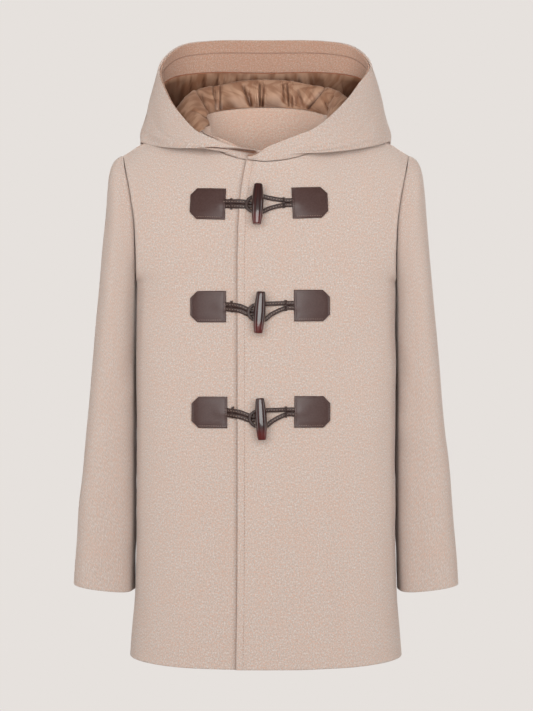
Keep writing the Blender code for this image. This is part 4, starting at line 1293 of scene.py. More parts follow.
@dataclass
class Sleeve:
    """One set-in sleeve, an open tube from armhole to cuff."""

    name: str
    side: int
    seed: int
    thickness: float = 0.0026
    around: int = 72
    rows: int = 150
    power: float = 2.2
    gap: float = 0.0004
    girth: float = 0.245
    swell_at: float = 0.022
    swell_width: float = 0.013
    swell_over: float = 0.0026
    # painted shade on the inner side: its strengths and reaches
    wide_shade: float = 0.14
    wide_reach: float = 0.034
    near_shade: float = 0.50
    near_reach: float = 0.011
    most_shade: float = 1.1

    def ring_points(self, ring: Array, turn: Array) -> Array:
        """Give a plain ring; turn is 0 at the armpit, 0.25 in front and 0.5 on top."""
        angle = 2.0 * np.pi * turn
        power = 2.0 / self.power
        along = -np.copysign(np.abs(np.cos(angle)) ** power, np.cos(angle))
        across = np.copysign(np.abs(np.sin(angle)) ** power, np.sin(angle))
        outer_x, outer_z, inner_x, inner_z, half_depth, middle_y = ring[:6]
        return stack((outer_x + inner_x) / 2.0 + (outer_x - inner_x) / 2.0 * along,
                     middle_y - half_depth * across,
                     (outer_z + inner_z) / 2.0 + (outer_z - inner_z) / 2.0 * along)

    def grid(self) -> tuple[Array, Array, Array]:
        """Lay the tube's points.

        Returns:
            The points, the share of a turn of each column and the way down of each row.
        """
        turn = np.arange(self.around) / self.around
        rise = np.where(turn <= 0.5, 2.0 * turn, 2.0 - 2.0 * turn)
        edge = np.where((turn <= 0.5)[:, None], FORM.armhole(rise, -1), FORM.armhole(rise, 1))
        edge[:, 0] += self.gap
        table = np.array(SLEEVE)
        keys = way_along((table[:, 0:2] + table[:, 2:4]) / 2.0)
        way = edged_steps(self.rows, keys[-1]) * keys[-1]
        kept = edge - self.ring_points(table[0], turn)
        rings = spline(keys, table, way)
        points = np.stack([self.ring_points(ring, turn) + kept * ring[6] for ring in rings])
        return points, turn, way

    def swell(self, turn: Array) -> Array:
        """Tell where round the sleeve its rear inner side swells towards the body."""
        behind = np.where(turn > 0.5, 1.0 - turn, -turn) * self.girth
        return bell(behind - self.swell_at, self.swell_width)

    def close_gap(self, points: Array, turn: Array) -> None:
        """Let the rear inner side swell behind the body's edge, so that no gap shows in front."""
        edge = FORM.point(np.ones(240), np.linspace(0.0, 2.0, 240), 1)
        z = points[:, 0, 2]
        gap = np.maximum(points[..., 0].min(axis=1) - np.interp(z, edge[:, 2], edge[:, 0]), 0.0)
        amount = (gap + self.swell_over) * smooth_step(-0.164, -0.182, z)
        points[..., 0] -= amount[:, None] * self.swell(turn)

    def build(self, palette: Palette) -> None:
        """Make the sleeve."""
        points, turn, way = self.grid()
        normals = facing(points, points - points.mean(axis=1, keepdims=True), True)
        beside = np.abs(turn - np.round(turn))
        u, v = np.meshgrid(turn * self.girth, way)
        depth = crease_depth(u, v, SLEEVE_FOLDS) + soft_wave(u * 1.3, v, 0.09, 0.0004, self.seed)
        # nothing moves at the armhole, or where the sleeve lies against the body
        keep = smooth_step(0.0, 0.020, v) * smooth_step(0.0, 0.07, beside)
        points = moved(points, normals, -depth * keep)
        self.close_gap(points, turn)
        points = mirrored(points, self.side)
        normals = facing(points, points - points.mean(axis=1, keepdims=True), True)
        # painted shade on the inner side near the body, darkest where it swells behind the body's edge
        upper, lower = smooth_step(0.03, 0.14, v), smooth_step(0.08, 0.18, v)
        beside = beside * self.girth
        shade = self.wide_shade * bell(beside, self.wide_reach) * upper
        shade += (self.near_shade * bell(beside, self.near_reach) + self.swell(turn)) * lower
        edges = (Edge.SEAM, Edge.TURNED, Edge.PLAIN, Edge.PLAIN)
        made = Cloth(self.name + "_cloth", points, normals, self.thickness, edges, closed=True,
                     shade=np.minimum(shade, self.most_shade))
        piece = dress(made.build(palette.wool), Slot.WOOL, self.name)


# ------------------------------------------------------------------ hood
class Station(NamedTuple):
    """A profile of the hood; turn is its place on the neckline."""

    turn: float
    crest: Triple
    fold: Triple
    face: Triple
    band: Triple
    rim: Triple


HOOD_OVER = (
    Station(-0.33, (-0.0220, -0.0888, -0.0242), (-0.0218, -0.0898, -0.0233),
            (-0.0216, -0.0907, -0.0223), (-0.0214, -0.0914, -0.0213), (-0.0210, -0.0923, -0.0194)),
    Station(0.14, (0.0093, -0.0896, -0.0245), (0.0096, -0.0908, -0.0220),
            (0.0102, -0.0918, -0.0185), (0.0108, -0.0926, -0.0150), (0.0128, -0.0932, -0.0067)),
    Station(0.44, (0.0308, -0.0870, -0.0205), (0.0316, -0.0890, -0.0182),
            (0.0324, -0.0905, -0.0140), (0.0332, -0.0908, -0.0085), (0.0345, -0.0885, 0.0024)),
    Station(0.72, (0.0550, -0.0710, -0.0120), (0.0625, -0.0810, -0.0168),
            (0.0655, -0.0850, -0.0120), (0.0655, -0.0845, -0.0055), (0.0610, -0.0740, 0.0157)),
    Station(0.88, (0.0745, -0.0530, 0.0070), (0.1000, -0.0640, -0.0118),
            (0.1035, -0.0645, -0.0030), (0.1015, -0.0600, 0.0090), (0.0932, -0.0380, 0.0479)),
    Station(0.96, (0.0860, -0.0200, 0.0290), (0.1300, -0.0300, -0.0035),
            (0.1325, -0.0270, 0.0150), (0.1265, -0.0190, 0.0350), (0.1121, -0.0050, 0.0738)),
    Station(1.06, (0.0940, 0.0160, 0.0460), (0.1500, 0.0200, 0.0037),
            (0.1475, 0.0320, 0.0320), (0.1400, 0.0370, 0.0630), (0.1282, 0.0300, 0.1012)),
    Station(1.25, (0.0780, 0.0500, 0.0580), (0.1320, 0.0900, -0.0220),
            (0.1395, 0.1020, 0.0290), (0.1215, 0.0711, 0.0903), (0.1082, 0.0580, 0.1270)),
    Station(1.56, (0.0480, 0.0730, 0.0630), (0.0820, 0.1340, -0.0520),
            (0.0900, 0.1460, 0.0200), (0.0736, 0.0922, 0.1011), (0.0669, 0.0780, 0.1369)),
    Station(2.00, (0.0000, 0.0800, 0.0650), (0.0000, 0.1480, -0.0640),
            (0.0000, 0.1620, 0.0160), (0.0000, 0.1001, 0.1016), (0.0000, 0.0860, 0.1385)),
)
HOOD_UNDER = (
    Station(-0.30, (-0.0200, -0.0843, -0.0240), (-0.0200, -0.0845, -0.0230),
            (-0.0200, -0.0847, -0.0219), (-0.0200, -0.0848, -0.0208), (-0.0200, -0.0848, -0.0185)),
    Station(0.34, (0.0235, -0.0842, -0.0228), (0.0247, -0.0844, -0.0210),
            (0.0262, -0.0846, -0.0186), (0.0282, -0.0846, -0.0158), (0.0319, -0.0842, -0.0104)),
    Station(0.60, (0.0440, -0.0792, -0.0178), (0.0460, -0.0815, -0.0164),
            (0.0485, -0.0832, -0.0138), (0.0510, -0.0838, -0.0102), (0.0557, -0.0815, -0.0033)),
    Station(0.76, (0.0590, -0.0690, -0.0095), (0.0745, -0.0790, -0.0118),
            (0.0780, -0.0812, -0.0080), (0.0790, -0.0805, -0.0040), (0.0780, -0.0720, 0.0080)),
    Station(0.88, (0.0760, -0.0530, 0.0060), (0.1070, -0.0580, -0.0092),
            (0.1100, -0.0585, -0.0025), (0.1085, -0.0570, 0.0035), (0.0976, -0.0480, 0.0281)),
    Station(0.96, (0.0870, -0.0200, 0.0270), (0.1325, -0.0200, -0.0030),
            (0.1340, -0.0190, 0.0100), (0.1300, -0.0180, 0.0220), (0.1189, -0.0150, 0.0590)),
    Station(1.06, (0.0940, 0.0160, 0.0460), (0.1508, 0.0200, 0.0030),
            (0.1485, 0.0320, 0.0320), (0.1412, 0.0370, 0.0600), (0.1305, 0.0290, 0.0975)),
) + HOOD_OVER[7:]


def rungs(extra: Sequence[float], *runs: tuple[float, float, int]) -> Array:
    """Give rising values: extra ones, and even runs from low to high with their counts."""
    return np.unique(np.concatenate([extra, *(np.linspace(*run) for run in runs)]))


@dataclass(frozen=True)
class HoodForm:
    """The hood's worn shape. A side is 1 for the half that laps over and -1 for the other.

    Places run from 0 at a front edge to the last one at the back centre, and on the whole way
    round from the under side's front edge to the over side's.
    """

    last: int = 9
    whole: int = 18
    lift: float = 0.0008
    fold_round: float = 0.30
    fold_reach: float = 0.009
    wool: float = 0.0025
    band_gap: float = 0.0004
    facing: float = 0.0020
    roll_peak: float = 0.0055
    facing_lean: float = 0.0165
    lean_drop: float = 0.10
    band_knot: int = 5
    rim_knot: int = 6
    slope_step: float = 0.02

    def turn(self, side: int, place: Array) -> Array:
        """Give where on the neckline the profiles stand."""
        table = HOOD_OVER if side > 0 else HOOD_UNDER
        return spline(np.arange(len(table)), column(table, "turn"), place)

    def controls(self, side: int, place: Array) -> Array:
        """Give the seven control points of the profiles at places between stations.

        Args:
            side: 1 or -1.
            place: Places from 0 at the front edge to 9 at the back centre.

        Returns:
            Places by 7 by 3, not mirrored.
        """
        table = HOOD_OVER if side > 0 else HOOD_UNDER
        crest, fold, face, band, rim = (
            spline(np.arange(len(table)), column(table, name), place) for name in Station._fields[1:])
        turn = self.turn(side, place)
        start = neckline(turn) + self.lift * UP
        if side > 0:
            start = moved(start, FORWARD, FORM.lap_lift * (1.0 - smooth_step(0.35, 0.8, turn)))
        up = unit(face - fold)
        out = (fold - crest) - up * np.sum((fold - crest) * up, axis=-1, keepdims=True)
        height = np.linalg.norm(face - fold, axis=-1, keepdims=True)
        reach = np.minimum(self.fold_reach, 0.4 * height)
        bulge = self.fold_round * reach * smooth_step(0.004, 0.020, height)
        round_fold = fold + up * reach + unit(out) * bulge
        return np.stack([start, crest, fold, round_fold, face, band, rim], axis=-2)

    @staticmethod
    def profile(controls: Array, knot: Array) -> Array:
        """Read the smooth profiles through control points.

        Args:
            controls: Places by points by 3.
            knot: One place along the profile for each row of controls.

        Returns:
            Places by 3.
        """
        last = controls.shape[-2] - 1
        lengths = run_lengths(controls, 1)
        before = np.maximum(np.arange(last + 1) - 1, 0)
        after = np.minimum(np.arange(last + 1) + 1, last)
        gaps = (lengths[:, after] - lengths[:, before])[..., None]
        slopes = (controls[:, after] - controls[:, before]) / gaps
        knot = np.clip(knot, 0.0, last)
        i = np.minimum(knot.astype(int), last - 1)
        pick = np.arange(len(controls))
        span = (lengths[pick, i + 1] - lengths[pick, i])[..., None]
        return hermite(span, (knot - i)[..., None], controls[pick, i], controls[pick, i + 1],
                       slopes[pick, i], slopes[pick, i + 1])

    def points(self, side: int, place: Array, knot: Array) -> Array:
        """Give points of the hood's outer face, one for each pair of place and knot."""
        controls = self.controls(side, place)
        found = self.profile(controls, knot)
        if side > 0:
            # its rim runs down to the neck seam at the front edge
            start = controls[..., 0, 2]
            share = 0.12 + 0.88 * smooth_step(-0.15, 0.75, place)
            found[..., 2] = start + (found[..., 2] - start) * share
        return mirrored(found, side)

    def normals(self, side: int, place: Array, knot: Array) -> Array:
        """Give outward normals of the hood's face, one for each pair of place and knot."""
        step = self.slope_step
        right = self.points(side, np.minimum(place + step, self.last), knot)
        left = self.points(side, np.maximum(place - step, 0.0), knot)
        high = self.points(side, place, np.minimum(knot + step, self.rim_knot))
        low = self.points(side, place, np.maximum(knot - step, 0.0))
        return unit(np.cross(right - left, high - low)) * side

    def grid(self, side: int, places: Array, knots: Array) -> tuple[Array, Array]:
        """Give the outer face and its outward normals: knots as rows, places as columns."""
        rows = [np.full_like(places, knot) for knot in knots]
        return (np.stack([self.points(side, places, row) for row in rows]),
                np.stack([self.normals(side, places, row) for row in rows]))


HOOD = HoodForm()


def bend_room(points: Array) -> Array:
    """Tell how thick a wall may be where its rows bend.

    Args:
        points: A grid with the profile along its rows axis.

    Returns:
        Lengths in metres.
    """
    steps = np.diff(points, axis=0)
    run = np.linalg.norm(steps, axis=-1)
    turn = np.linalg.norm(np.diff(unit(steps), axis=0), axis=-1)
    room = np.ones(points.shape[:2])
    room[1:-1] = (run[1:] + run[:-1]) / 2.0 / np.maximum(turn, 1e-6)
    return 0.6 * np.min([np.roll(room, shift, axis=0) for shift in range(-2, 3)], axis=0)


HOOD_FOLDS = (
    Crease(3.2, 4.2, 5.0, 4.9, 0.30, 0.0012),
    Crease(5.4, 3.2, 6.4, 4.8, 0.35, 0.0010),
    Crease(6.4, 2.8, 7.6, 4.4, 0.34, 0.0018),
    Crease(7.7, 2.9, 8.3, 4.6, 0.30, 0.0016),
)
# where the under side's rim runs near the front edge: x and z
UNDER_RIM = ((-0.0615, -0.0104), (-0.0440, -0.0120), (-0.0255, -0.0138), (-0.0110, -0.0152))


@dataclass
class HoodShell:
    """The hood's two wool sides, joined by a seam down the back."""

    thickness: float = 0.0025
    thinnest: float = 0.0004
    rim_out: float = 0.0026
    rim_sink: float = 0.0030

    def turn_rim(self, points: Array, normals: Array, place: Array) -> tuple[Array, Array]:
        """Let the under side's rim stand out over its stand near the front edge.

        Args:
            points: The side's grid.
            normals: Its outward normals.
            place: The place of each point.

        Returns:
            The moved points and the shade under the rim.
        """
        x = points[..., 0]
        below = np.interp(x, *zip(*UNDER_RIM)) - points[..., 2]
        out = self.rim_out * smooth_step(0.0002, -0.0003, below)
        sink = self.rim_sink * bell(below - 0.0005, 0.0005)
        side = smooth_step(3.2, 2.6, place)
        keep = side * smooth_step(-0.0125, -0.0200, x)
        # painted shadow under the turned rim, and painted shade on the stand below it
        shadow = 1.1 * bell(below - 0.0006, 0.0007 + 0.0012 * smooth_step(-0.046, -0.030, x))
        deep = 0.10 + 0.75 * smooth_step(-0.034, -0.014, x)
        shadow += deep * smooth_step(0.0, 0.0008, below) * bell(below, 0.007)
        near = side * smooth_step(-0.0085, -0.0125, x)
        return moved(points, normals, (out - sink) * keep), np.minimum(shadow, 1.1) * near

    def build(self, palette: Palette) -> None:
        """Make both sides."""
        places = rungs([0.0, 0.01, 0.03, 0.06, 8.93, 8.96, 8.98, 8.992], (0.1, 9.0, 124))
        knots = rungs([0.01, 0.03, 0.06, 5.94, 5.965, 5.98, 5.99, 5.996, 6.0], (0.0, 0.9, 14),
                      (0.9, 1.7, 16), (1.7, 3.2, 40), (3.2, 5.0, 26), (5.0, 5.9, 14))
        for name, side in (("hood_left", 1), ("hood_right", -1)):
            points, normals = HOOD.grid(side, places, knots)
            points[:, -1, 0] = side * FORM.seam
            p, k = np.meshgrid(places, knots)
            keep = smooth_step(1.8, 2.6, k) * smooth_step(0.0, 0.8, HOOD.rim_knot - k)
            keep = keep * smooth_step(0.0, 1.0, HOOD.last - p) * smooth_step(1.0, 3.0, p)
            depth = crease_depth(p, k, HOOD_FOLDS) + soft_wave(p, k, 1.9, 0.0004, 31 + side)
            points = moved(points, normals, -depth * keep)
            # painted shade: a little darker towards the back of the hood
            shade = 0.06 * smooth_step(1.5, 4.0, p)
            if side < 0:
                points, shadow = self.turn_rim(points, normals, p)
                shade = shade + shadow
            room = np.maximum(bend_room(points), self.thinnest)
            edges = (Edge.PLAIN, Edge.TURNED, Edge.TURNED, Edge.SEAM)
            cloth = Cloth(name + "_cloth", points, normals, self.thickness, edges,
                          inner_limit=room, shade=shade)
            piece = dress(cloth.build(palette.wool), Slot.WOOL, name)


@dataclass
class HoodBand:
    """The wool facing inside the hood's rim."""

    thickness: float = 0.0020
    seam_share: float = 0.60
    seam_depth: float = 0.0006

    @staticmethod
    def whole_way(places: Array, knots: Array, depth: float) -> tuple[Array, Array]:
        """Lay a grid inside the hood from front edge to front edge, round the back.

        Args:
            places: Places of one side, front edge first.
            knots: Its rows along the profile.
            depth: How far it lies inside the outer face.

        Returns:
            Points and normals away from the wearer.
        """
        halves = []
        for side in (-1, 1):
            points, normals = HOOD.grid(side, places, knots)
            halves.append((moved(points, normals, np.full(points.shape[:2], -depth)), normals))
        return tuple(np.concatenate([low[:, :-1], high[:, ::-1]], axis=1) for low, high in zip(*halves))

    def paths(self) -> list[Array]:
        """Give the seam across the facing and the line along its lower edge."""
        depth = HOOD.wool + HOOD.band_gap + self.thickness + STITCH_OUT
        knots = (HOOD.band_knot + self.seam_share, HOOD.band_knot - 0.005)
        return list(self.whole_way(np.linspace(4.9, 9.0, 120), knots, depth)[0])

    def build(self, palette: Palette) -> None:
        """Make the facing in one strip."""
        places = rungs([0.0, 0.02, 0.06], (0.1, 9.0, 110))
        middle = HOOD.band_knot + self.seam_share
        knots = rungs([5.0, 5.006, 5.015, 5.03, 5.965, 5.98, 5.99, 5.996, 6.0], (5.05, 5.95, 30),
                      (middle - 0.02, middle + 0.02, 5))
        points, normals = self.whole_way(places, knots, HOOD.wool + HOOD.band_gap + self.thickness)
        points[:, len(places) - 1, 0] = 0.0
        k = knots[:, None] + 0.0 * points[..., 0]
        swell = soft_wave(points[..., 0], points[..., 2], 0.05, 0.0003, 41)
        swell = swell * hump(5.0, 5.2, 5.8, 6.0, k)
        points = moved(points, normals, self.seam_depth * bell(k - middle, 0.022) + swell)
        x = points[..., 0]
        # painted shade: darker towards both sides of the band, along its seam and at its low front end
        shade = 0.26 * smooth_step(-0.078, -0.118, x) + 0.22 * smooth_step(0.095, 0.125, x)
        shade = shade + 0.45 * bell(k - middle, 0.016)
        low = smooth_step(0.040, 0.015, points[..., 2])
        shade = shade + 0.6 * low * bell(x + 0.017, 0.011, 4.0)
        cloth = Cloth("hood_band_cloth", points, -normals, self.thickness, ALL_TURNED, shade=shade)
        piece = dress(cloth.build(palette.band), Slot.BAND, "hood_band")


def around(place: Array) -> tuple[Array, Array]:
    """Turn places on the whole way round (0 to 18) into sides and station places."""
    side = np.where(place <= HOOD.last, -1, 1)
    return side, np.where(place <= HOOD.last, place, HOOD.whole - place)


def by_side(place: Array, made: Callable[[int, Array], Array]) -> Array:
    """Join what a function gives for the two sides of the way round.

    Args:
        place: Places from 0 to 18.
        made: Function of a side and its own places.

    Returns:
        Rows in the order of place.
    """
    side, own = around(place)
    under, over = made(-1, own), made(1, own)
    return np.where((side < 0).reshape((-1,) + (1,) * (under.ndim - 1)), under, over)


def neck_frame(place: Array) -> tuple[Array, Array]:
    """Give the neckline's points and inward directions on the whole way round."""
    def part(side: int, own: Array) -> Array:
        """Give both for one side."""
        turn = HOOD.turn(side, own)
        run = neckline(np.minimum(turn + 0.02, 2.0)) - neckline(turn - 0.02)
        inward = unit(stack(-run[..., 1], run[..., 0], 0.0))
        inward = np.where((own > HOOD.last - 0.01)[..., None], FORWARD, inward)
        return np.concatenate([mirrored(neckline(turn), side), mirrored(inward, side)], axis=-1)

    both = by_side(place, part)
    return both[..., :3], both[..., 3:]


def facing_lean(place: Array) -> Array:
    """Tell how far the facing's top leans out on the under side, to meet the hood's rim."""
    side, own = around(place)
    return np.where(side > 0, 0.0, HOOD.facing_lean * hump(1.8, 3.4, 3.9, 4.6, own))


def facing_flare(place: Array) -> Array:
    """Tell how far the cloth of the facing flares out at the sides of the neck."""
    side, own = around(place)
    return np.where(side > 0, 0.0106 * hump(3.6, 4.8, 6.6, 8.2, own),
                    0.0036 * hump(3.2, 4.4, 6.6, 8.2, own))


def facing_height(place: Array) -> Array:
    """Tell how far the neck facing stands above the neckline."""
    def part(side: int, own: Array) -> Array:
        """Give it for one side."""
        shell = HOOD.controls(side, own)
        share = 0.8 if side > 0 else 0.94
        front = np.minimum(0.018, share * (shell[..., -1, 2] - shell[..., 0, 2]))
        rear = 0.013 + 0.009 * smooth_step(6.0, 9.0, own)
        return front + (rear - front) * smooth_step(3.6, 5.2, own)

    side, own = around(place)
    drop = np.where(side > 0, 0.0035 * hump(3.6, 4.8, 6.4, 7.8, own), 0.0)
    return by_side(place, part) - HOOD.lean_drop * facing_lean(place) - drop


class FacingRow(NamedTuple):
    """One line of the neck facing: its share of the height, its extra height and its inset."""

    share: float
    extra: float
    inset: float


FACING = (
    FacingRow(1.0, 0.0, 0.0050),
    FacingRow(0.5, 0.0, 0.0048),
    FacingRow(0.0, 0.0, 0.0048),
    FacingRow(0.0, -0.014, 0.0052),
    FacingRow(0.0, -0.044, 0.0046),
)


@dataclass
class NeckFacing:
    """The wool piece inside the neck, below the gathered lining."""

    thickness: float = 0.0020
    start: float = 1.6
    clear: float = 0.0018
    columns: int = 120
    rows: int = 34
    length: float = 0.36
    height: float = 0.065

    def build(self, palette: Palette) -> None:
        """Make the facing."""
        places = self.start + (HOOD.whole - 2.0 * self.start) * edged_steps(self.columns, self.length)
        last = len(FACING) - 1
        rows = edged_steps(self.rows, self.height) * last
        share, extra, inset = (np.interp(rows, np.arange(last + 1), column(FACING, name))[:, None]
                               for name in FacingRow._fields)
        point, inward = neck_frame(places)
        side, own = around(places)
        ends = smooth_step(self.start, 5.5, own)
        clear = np.where(side < 0, self.clear * (1.0 - smooth_step(2.4, 3.6, own)), 0.0)
        rise = facing_height(places) * share + extra * (0.35 + 0.65 * ends)
        lean = facing_lean(places) + facing_flare(places)
        shift = inset + clear + self.thickness - lean * share
        points = moved(moved(point, inward, shift), UP, rise)
        outward = np.broadcast_to(inward, points.shape)
        swell = soft_wave(places * 0.02 + 0.0 * rise, points[..., 2], 0.05, 0.0004, 51)
        points = moved(points, outward, -swell * smooth_step(0.0, 0.008, run_lengths(points, 0)))
        edges = (Edge.SEAM, Edge.TURNED, Edge.TURNED, Edge.TURNED)
        # painted shade: darker towards the over side and on the under side's outer part
        shade = 0.10 * smooth_step(0.010, 0.060, points[..., 0])
        shade = shade + 0.18 * smooth_step(-0.063, -0.067, points[..., 0])
        cloth = Cloth("neck_facing_cloth", points, outward, self.thickness, edges, shade=shade)
        # painted light: the facing wears the lighter copy of the wool
        piece = dress(cloth.build(palette.brightened_wool), Slot.WOOL, "neck_facing")


# Folds of the gathered roll as seen from in front, u across and v up.
GATHERS = (
    Crease(-0.0906, 0.0715, -0.0722, 0.0372, 0.0039, -0.0016),
    Crease(-0.0844, 0.0697, -0.0714, 0.0433, 0.0015, 0.0026),
    Crease(-0.0763, 0.0642, -0.0727, 0.0495, 0.0016, 0.0019),
    Crease(-0.0673, 0.0740, -0.0654, 0.0531, 0.0022, -0.0010),
    Crease(-0.0694, 0.0761, -0.0616, 0.0458, 0.0011, -0.0009),
    Crease(-0.0645, 0.0776, -0.0609, 0.0470, 0.0011, 0.0022),
    Crease(-0.0607, 0.0727, -0.0599, 0.0495, 0.0010, 0.0015),
    Crease(-0.0576, 0.0801, -0.0582, 0.0482, 0.0011, -0.0010),
    Crease(-0.0555, 0.0795, -0.0543, 0.0482, 0.0012, 0.0020),
    Crease(-0.0366, 0.0825, -0.0212, 0.0531, 0.0042, -0.0011),
    Crease(-0.0457, 0.0764, -0.0281, 0.0519, 0.0032, -0.0005),
    Crease(-0.0489, 0.0642, -0.0366, 0.0495, 0.0049, 0.0009),
    Crease(-0.0276, 0.0783, -0.0190, 0.0544, 0.0018, 0.0028),
    Crease(-0.0212, 0.0715, -0.0178, 0.0556, 0.0015, 0.0016),
    Crease(-0.0143, 0.0801, -0.0121, 0.0568, 0.0020, -0.0010),
    Crease(-0.0112, 0.0825, -0.0082, 0.0531, 0.0010, -0.0008),
    Crease(-0.0074, 0.0825, -0.0072, 0.0544, 0.0011, 0.0024),
    Crease(-0.0042, 0.0850, -0.0064, 0.0531, 0.0010, -0.0009),
    Crease(-0.0021, 0.0813, -0.0040, 0.0519, 0.0012, 0.0019),
    Crease(0.0075, 0.0703, 0.0075, 0.0556, 0.0061, -0.0005),
    Crease(0.0192, 0.0838, 0.0200, 0.0605, 0.0010, -0.0009),
    Crease(0.0212, 0.0813, 0.0217, 0.0605, 0.0011, 0.0018),
    Crease(0.0229, 0.0740, 0.0266, 0.0519, 0.0011, -0.0009),
    Crease(0.0262, 0.0825, 0.0279, 0.0544, 0.0011, 0.0024),
    Crease(0.0330, 0.0838, 0.0286, 0.0556, 0.0011, -0.0010),
    Crease(0.0311, 0.0678, 0.0319, 0.0531, 0.0011, 0.0018),
    Crease(0.0398, 0.0727, 0.0437, 0.0568, 0.0015, 0.0020),
    Crease(0.0376, 0.0654, 0.0364, 0.0568, 0.0015, 0.0013),
    Crease(0.0535, 0.0801, 0.0428, 0.0519, 0.0029, -0.0010),
    Crease(0.0629, 0.0764, 0.0484, 0.0507, 0.0029, -0.0009),
    Crease(0.0727, 0.0770, 0.0509, 0.0495, 0.0017, 0.0028),
    Crease(0.0808, 0.0752, 0.0594, 0.0470, 0.0032, -0.0008),
    Crease(0.0859, 0.0660, 0.0697, 0.0464, 0.0017, -0.0010),
    Crease(0.0808, 0.0611, 0.0756, 0.0538, 0.0017, 0.0022),
    Crease(0.0710, 0.0531, 0.0739, 0.0452, 0.0013, 0.0020),
    Crease(0.0888, 0.0674, 0.0756, 0.0426, 0.0016, -0.0010),
    Crease(0.0933, 0.0654, 0.0834, 0.0458, 0.0017, 0.0018),
    Crease(-0.1040, 0.0495, -0.0875, 0.0397, 0.0018, 0.0016),
    Crease(-0.0875, 0.0397, -0.0691, 0.0311, 0.0016, 0.0022),
    Crease(-0.1004, 0.0617, -0.0771, 0.0348, 0.0032, -0.0009),
    Crease(-0.0979, 0.0384, -0.0795, 0.0262, 0.0029, -0.0008),
)


class PaintedShade(NamedTuple):
    """How dark the painted shade on the lining's gathers is at a place across."""

    x: float
    shade: float


# painted shade and painted reflection on the rear wall: grey-looking and darker bands across it, and
# dark lines where it gathers
REAR_PAINTED_SHADE = (
    PaintedShade(-0.1318, 0.9),
    PaintedShade(-0.1094, 0.75),
    PaintedShade(-0.0951, 0.5),
    PaintedShade(-0.0935, 1.1),
    PaintedShade(-0.0918, 0.45),
    PaintedShade(-0.0796, 0.4),
    PaintedShade(-0.0778, 1.1),
    PaintedShade(-0.0758, 0.62),
    PaintedShade(-0.0627, 0.55),
    PaintedShade(-0.0601, 1.2),
    PaintedShade(-0.0584, 0.15),
    PaintedShade(-0.0532, 0.12),
    PaintedShade(-0.0522, 0.8),
    PaintedShade(-0.0507, 0.1),
    PaintedShade(-0.0385, 0.18),
    PaintedShade(-0.0367, 1.1),
    PaintedShade(-0.0347, 0.5),
    PaintedShade(-0.0215, 0.45),
    PaintedShade(-0.0195, 1.0),
    PaintedShade(-0.0173, 0.75),
    PaintedShade(0.0051, 0.7),
    PaintedShade(0.0225, 0.75),
    PaintedShade(0.0256, 1.1),
    PaintedShade(0.0294, 0.65),
    PaintedShade(0.0387, 0.6),
    PaintedShade(0.0415, 1.1),
    PaintedShade(0.0462, 0.5),
    PaintedShade(0.0537, 0.55),
    PaintedShade(0.0549, 0.85),
    PaintedShade(0.0711, 0.85),
    PaintedShade(0.0736, 0.5),
    PaintedShade(0.0898, 0.45),
    PaintedShade(0.1010, 0.8),
    PaintedShade(0.1172, 1.0),
)

# painted shade on the roll near its seam, darker in some spans across
ROLL_PAINTED_SHADE = (
    PaintedShade(-0.1052, 0.15),
    PaintedShade(-0.0746, 0.45),
    PaintedShade(-0.0636, 0.15),
    PaintedShade(-0.0538, 0.55),
    PaintedShade(-0.0342, 0.45),
    PaintedShade(-0.0219, 0.15),
    PaintedShade(-0.0170, 0.45),
    PaintedShade(-0.0023, 0.75),
    PaintedShade(0.0148, 0.7),
    PaintedShade(0.0222, 0.25),
    PaintedShade(0.0393, 0.15),
    PaintedShade(0.0491, 0.4),
    PaintedShade(0.0638, 0.55),
    PaintedShade(0.0736, 0.25),
)


# a place in the hood's hollow, which the lining faces
HOLLOW = np.array([0.0, 0.06, 0.25])


def painted_shade_at(shades: Sequence[PaintedShade], x: Array) -> Array:
    """Read a table of painted shade at places across."""
    return np.interp(x, column(shades, "x"), column(shades, "shade"))


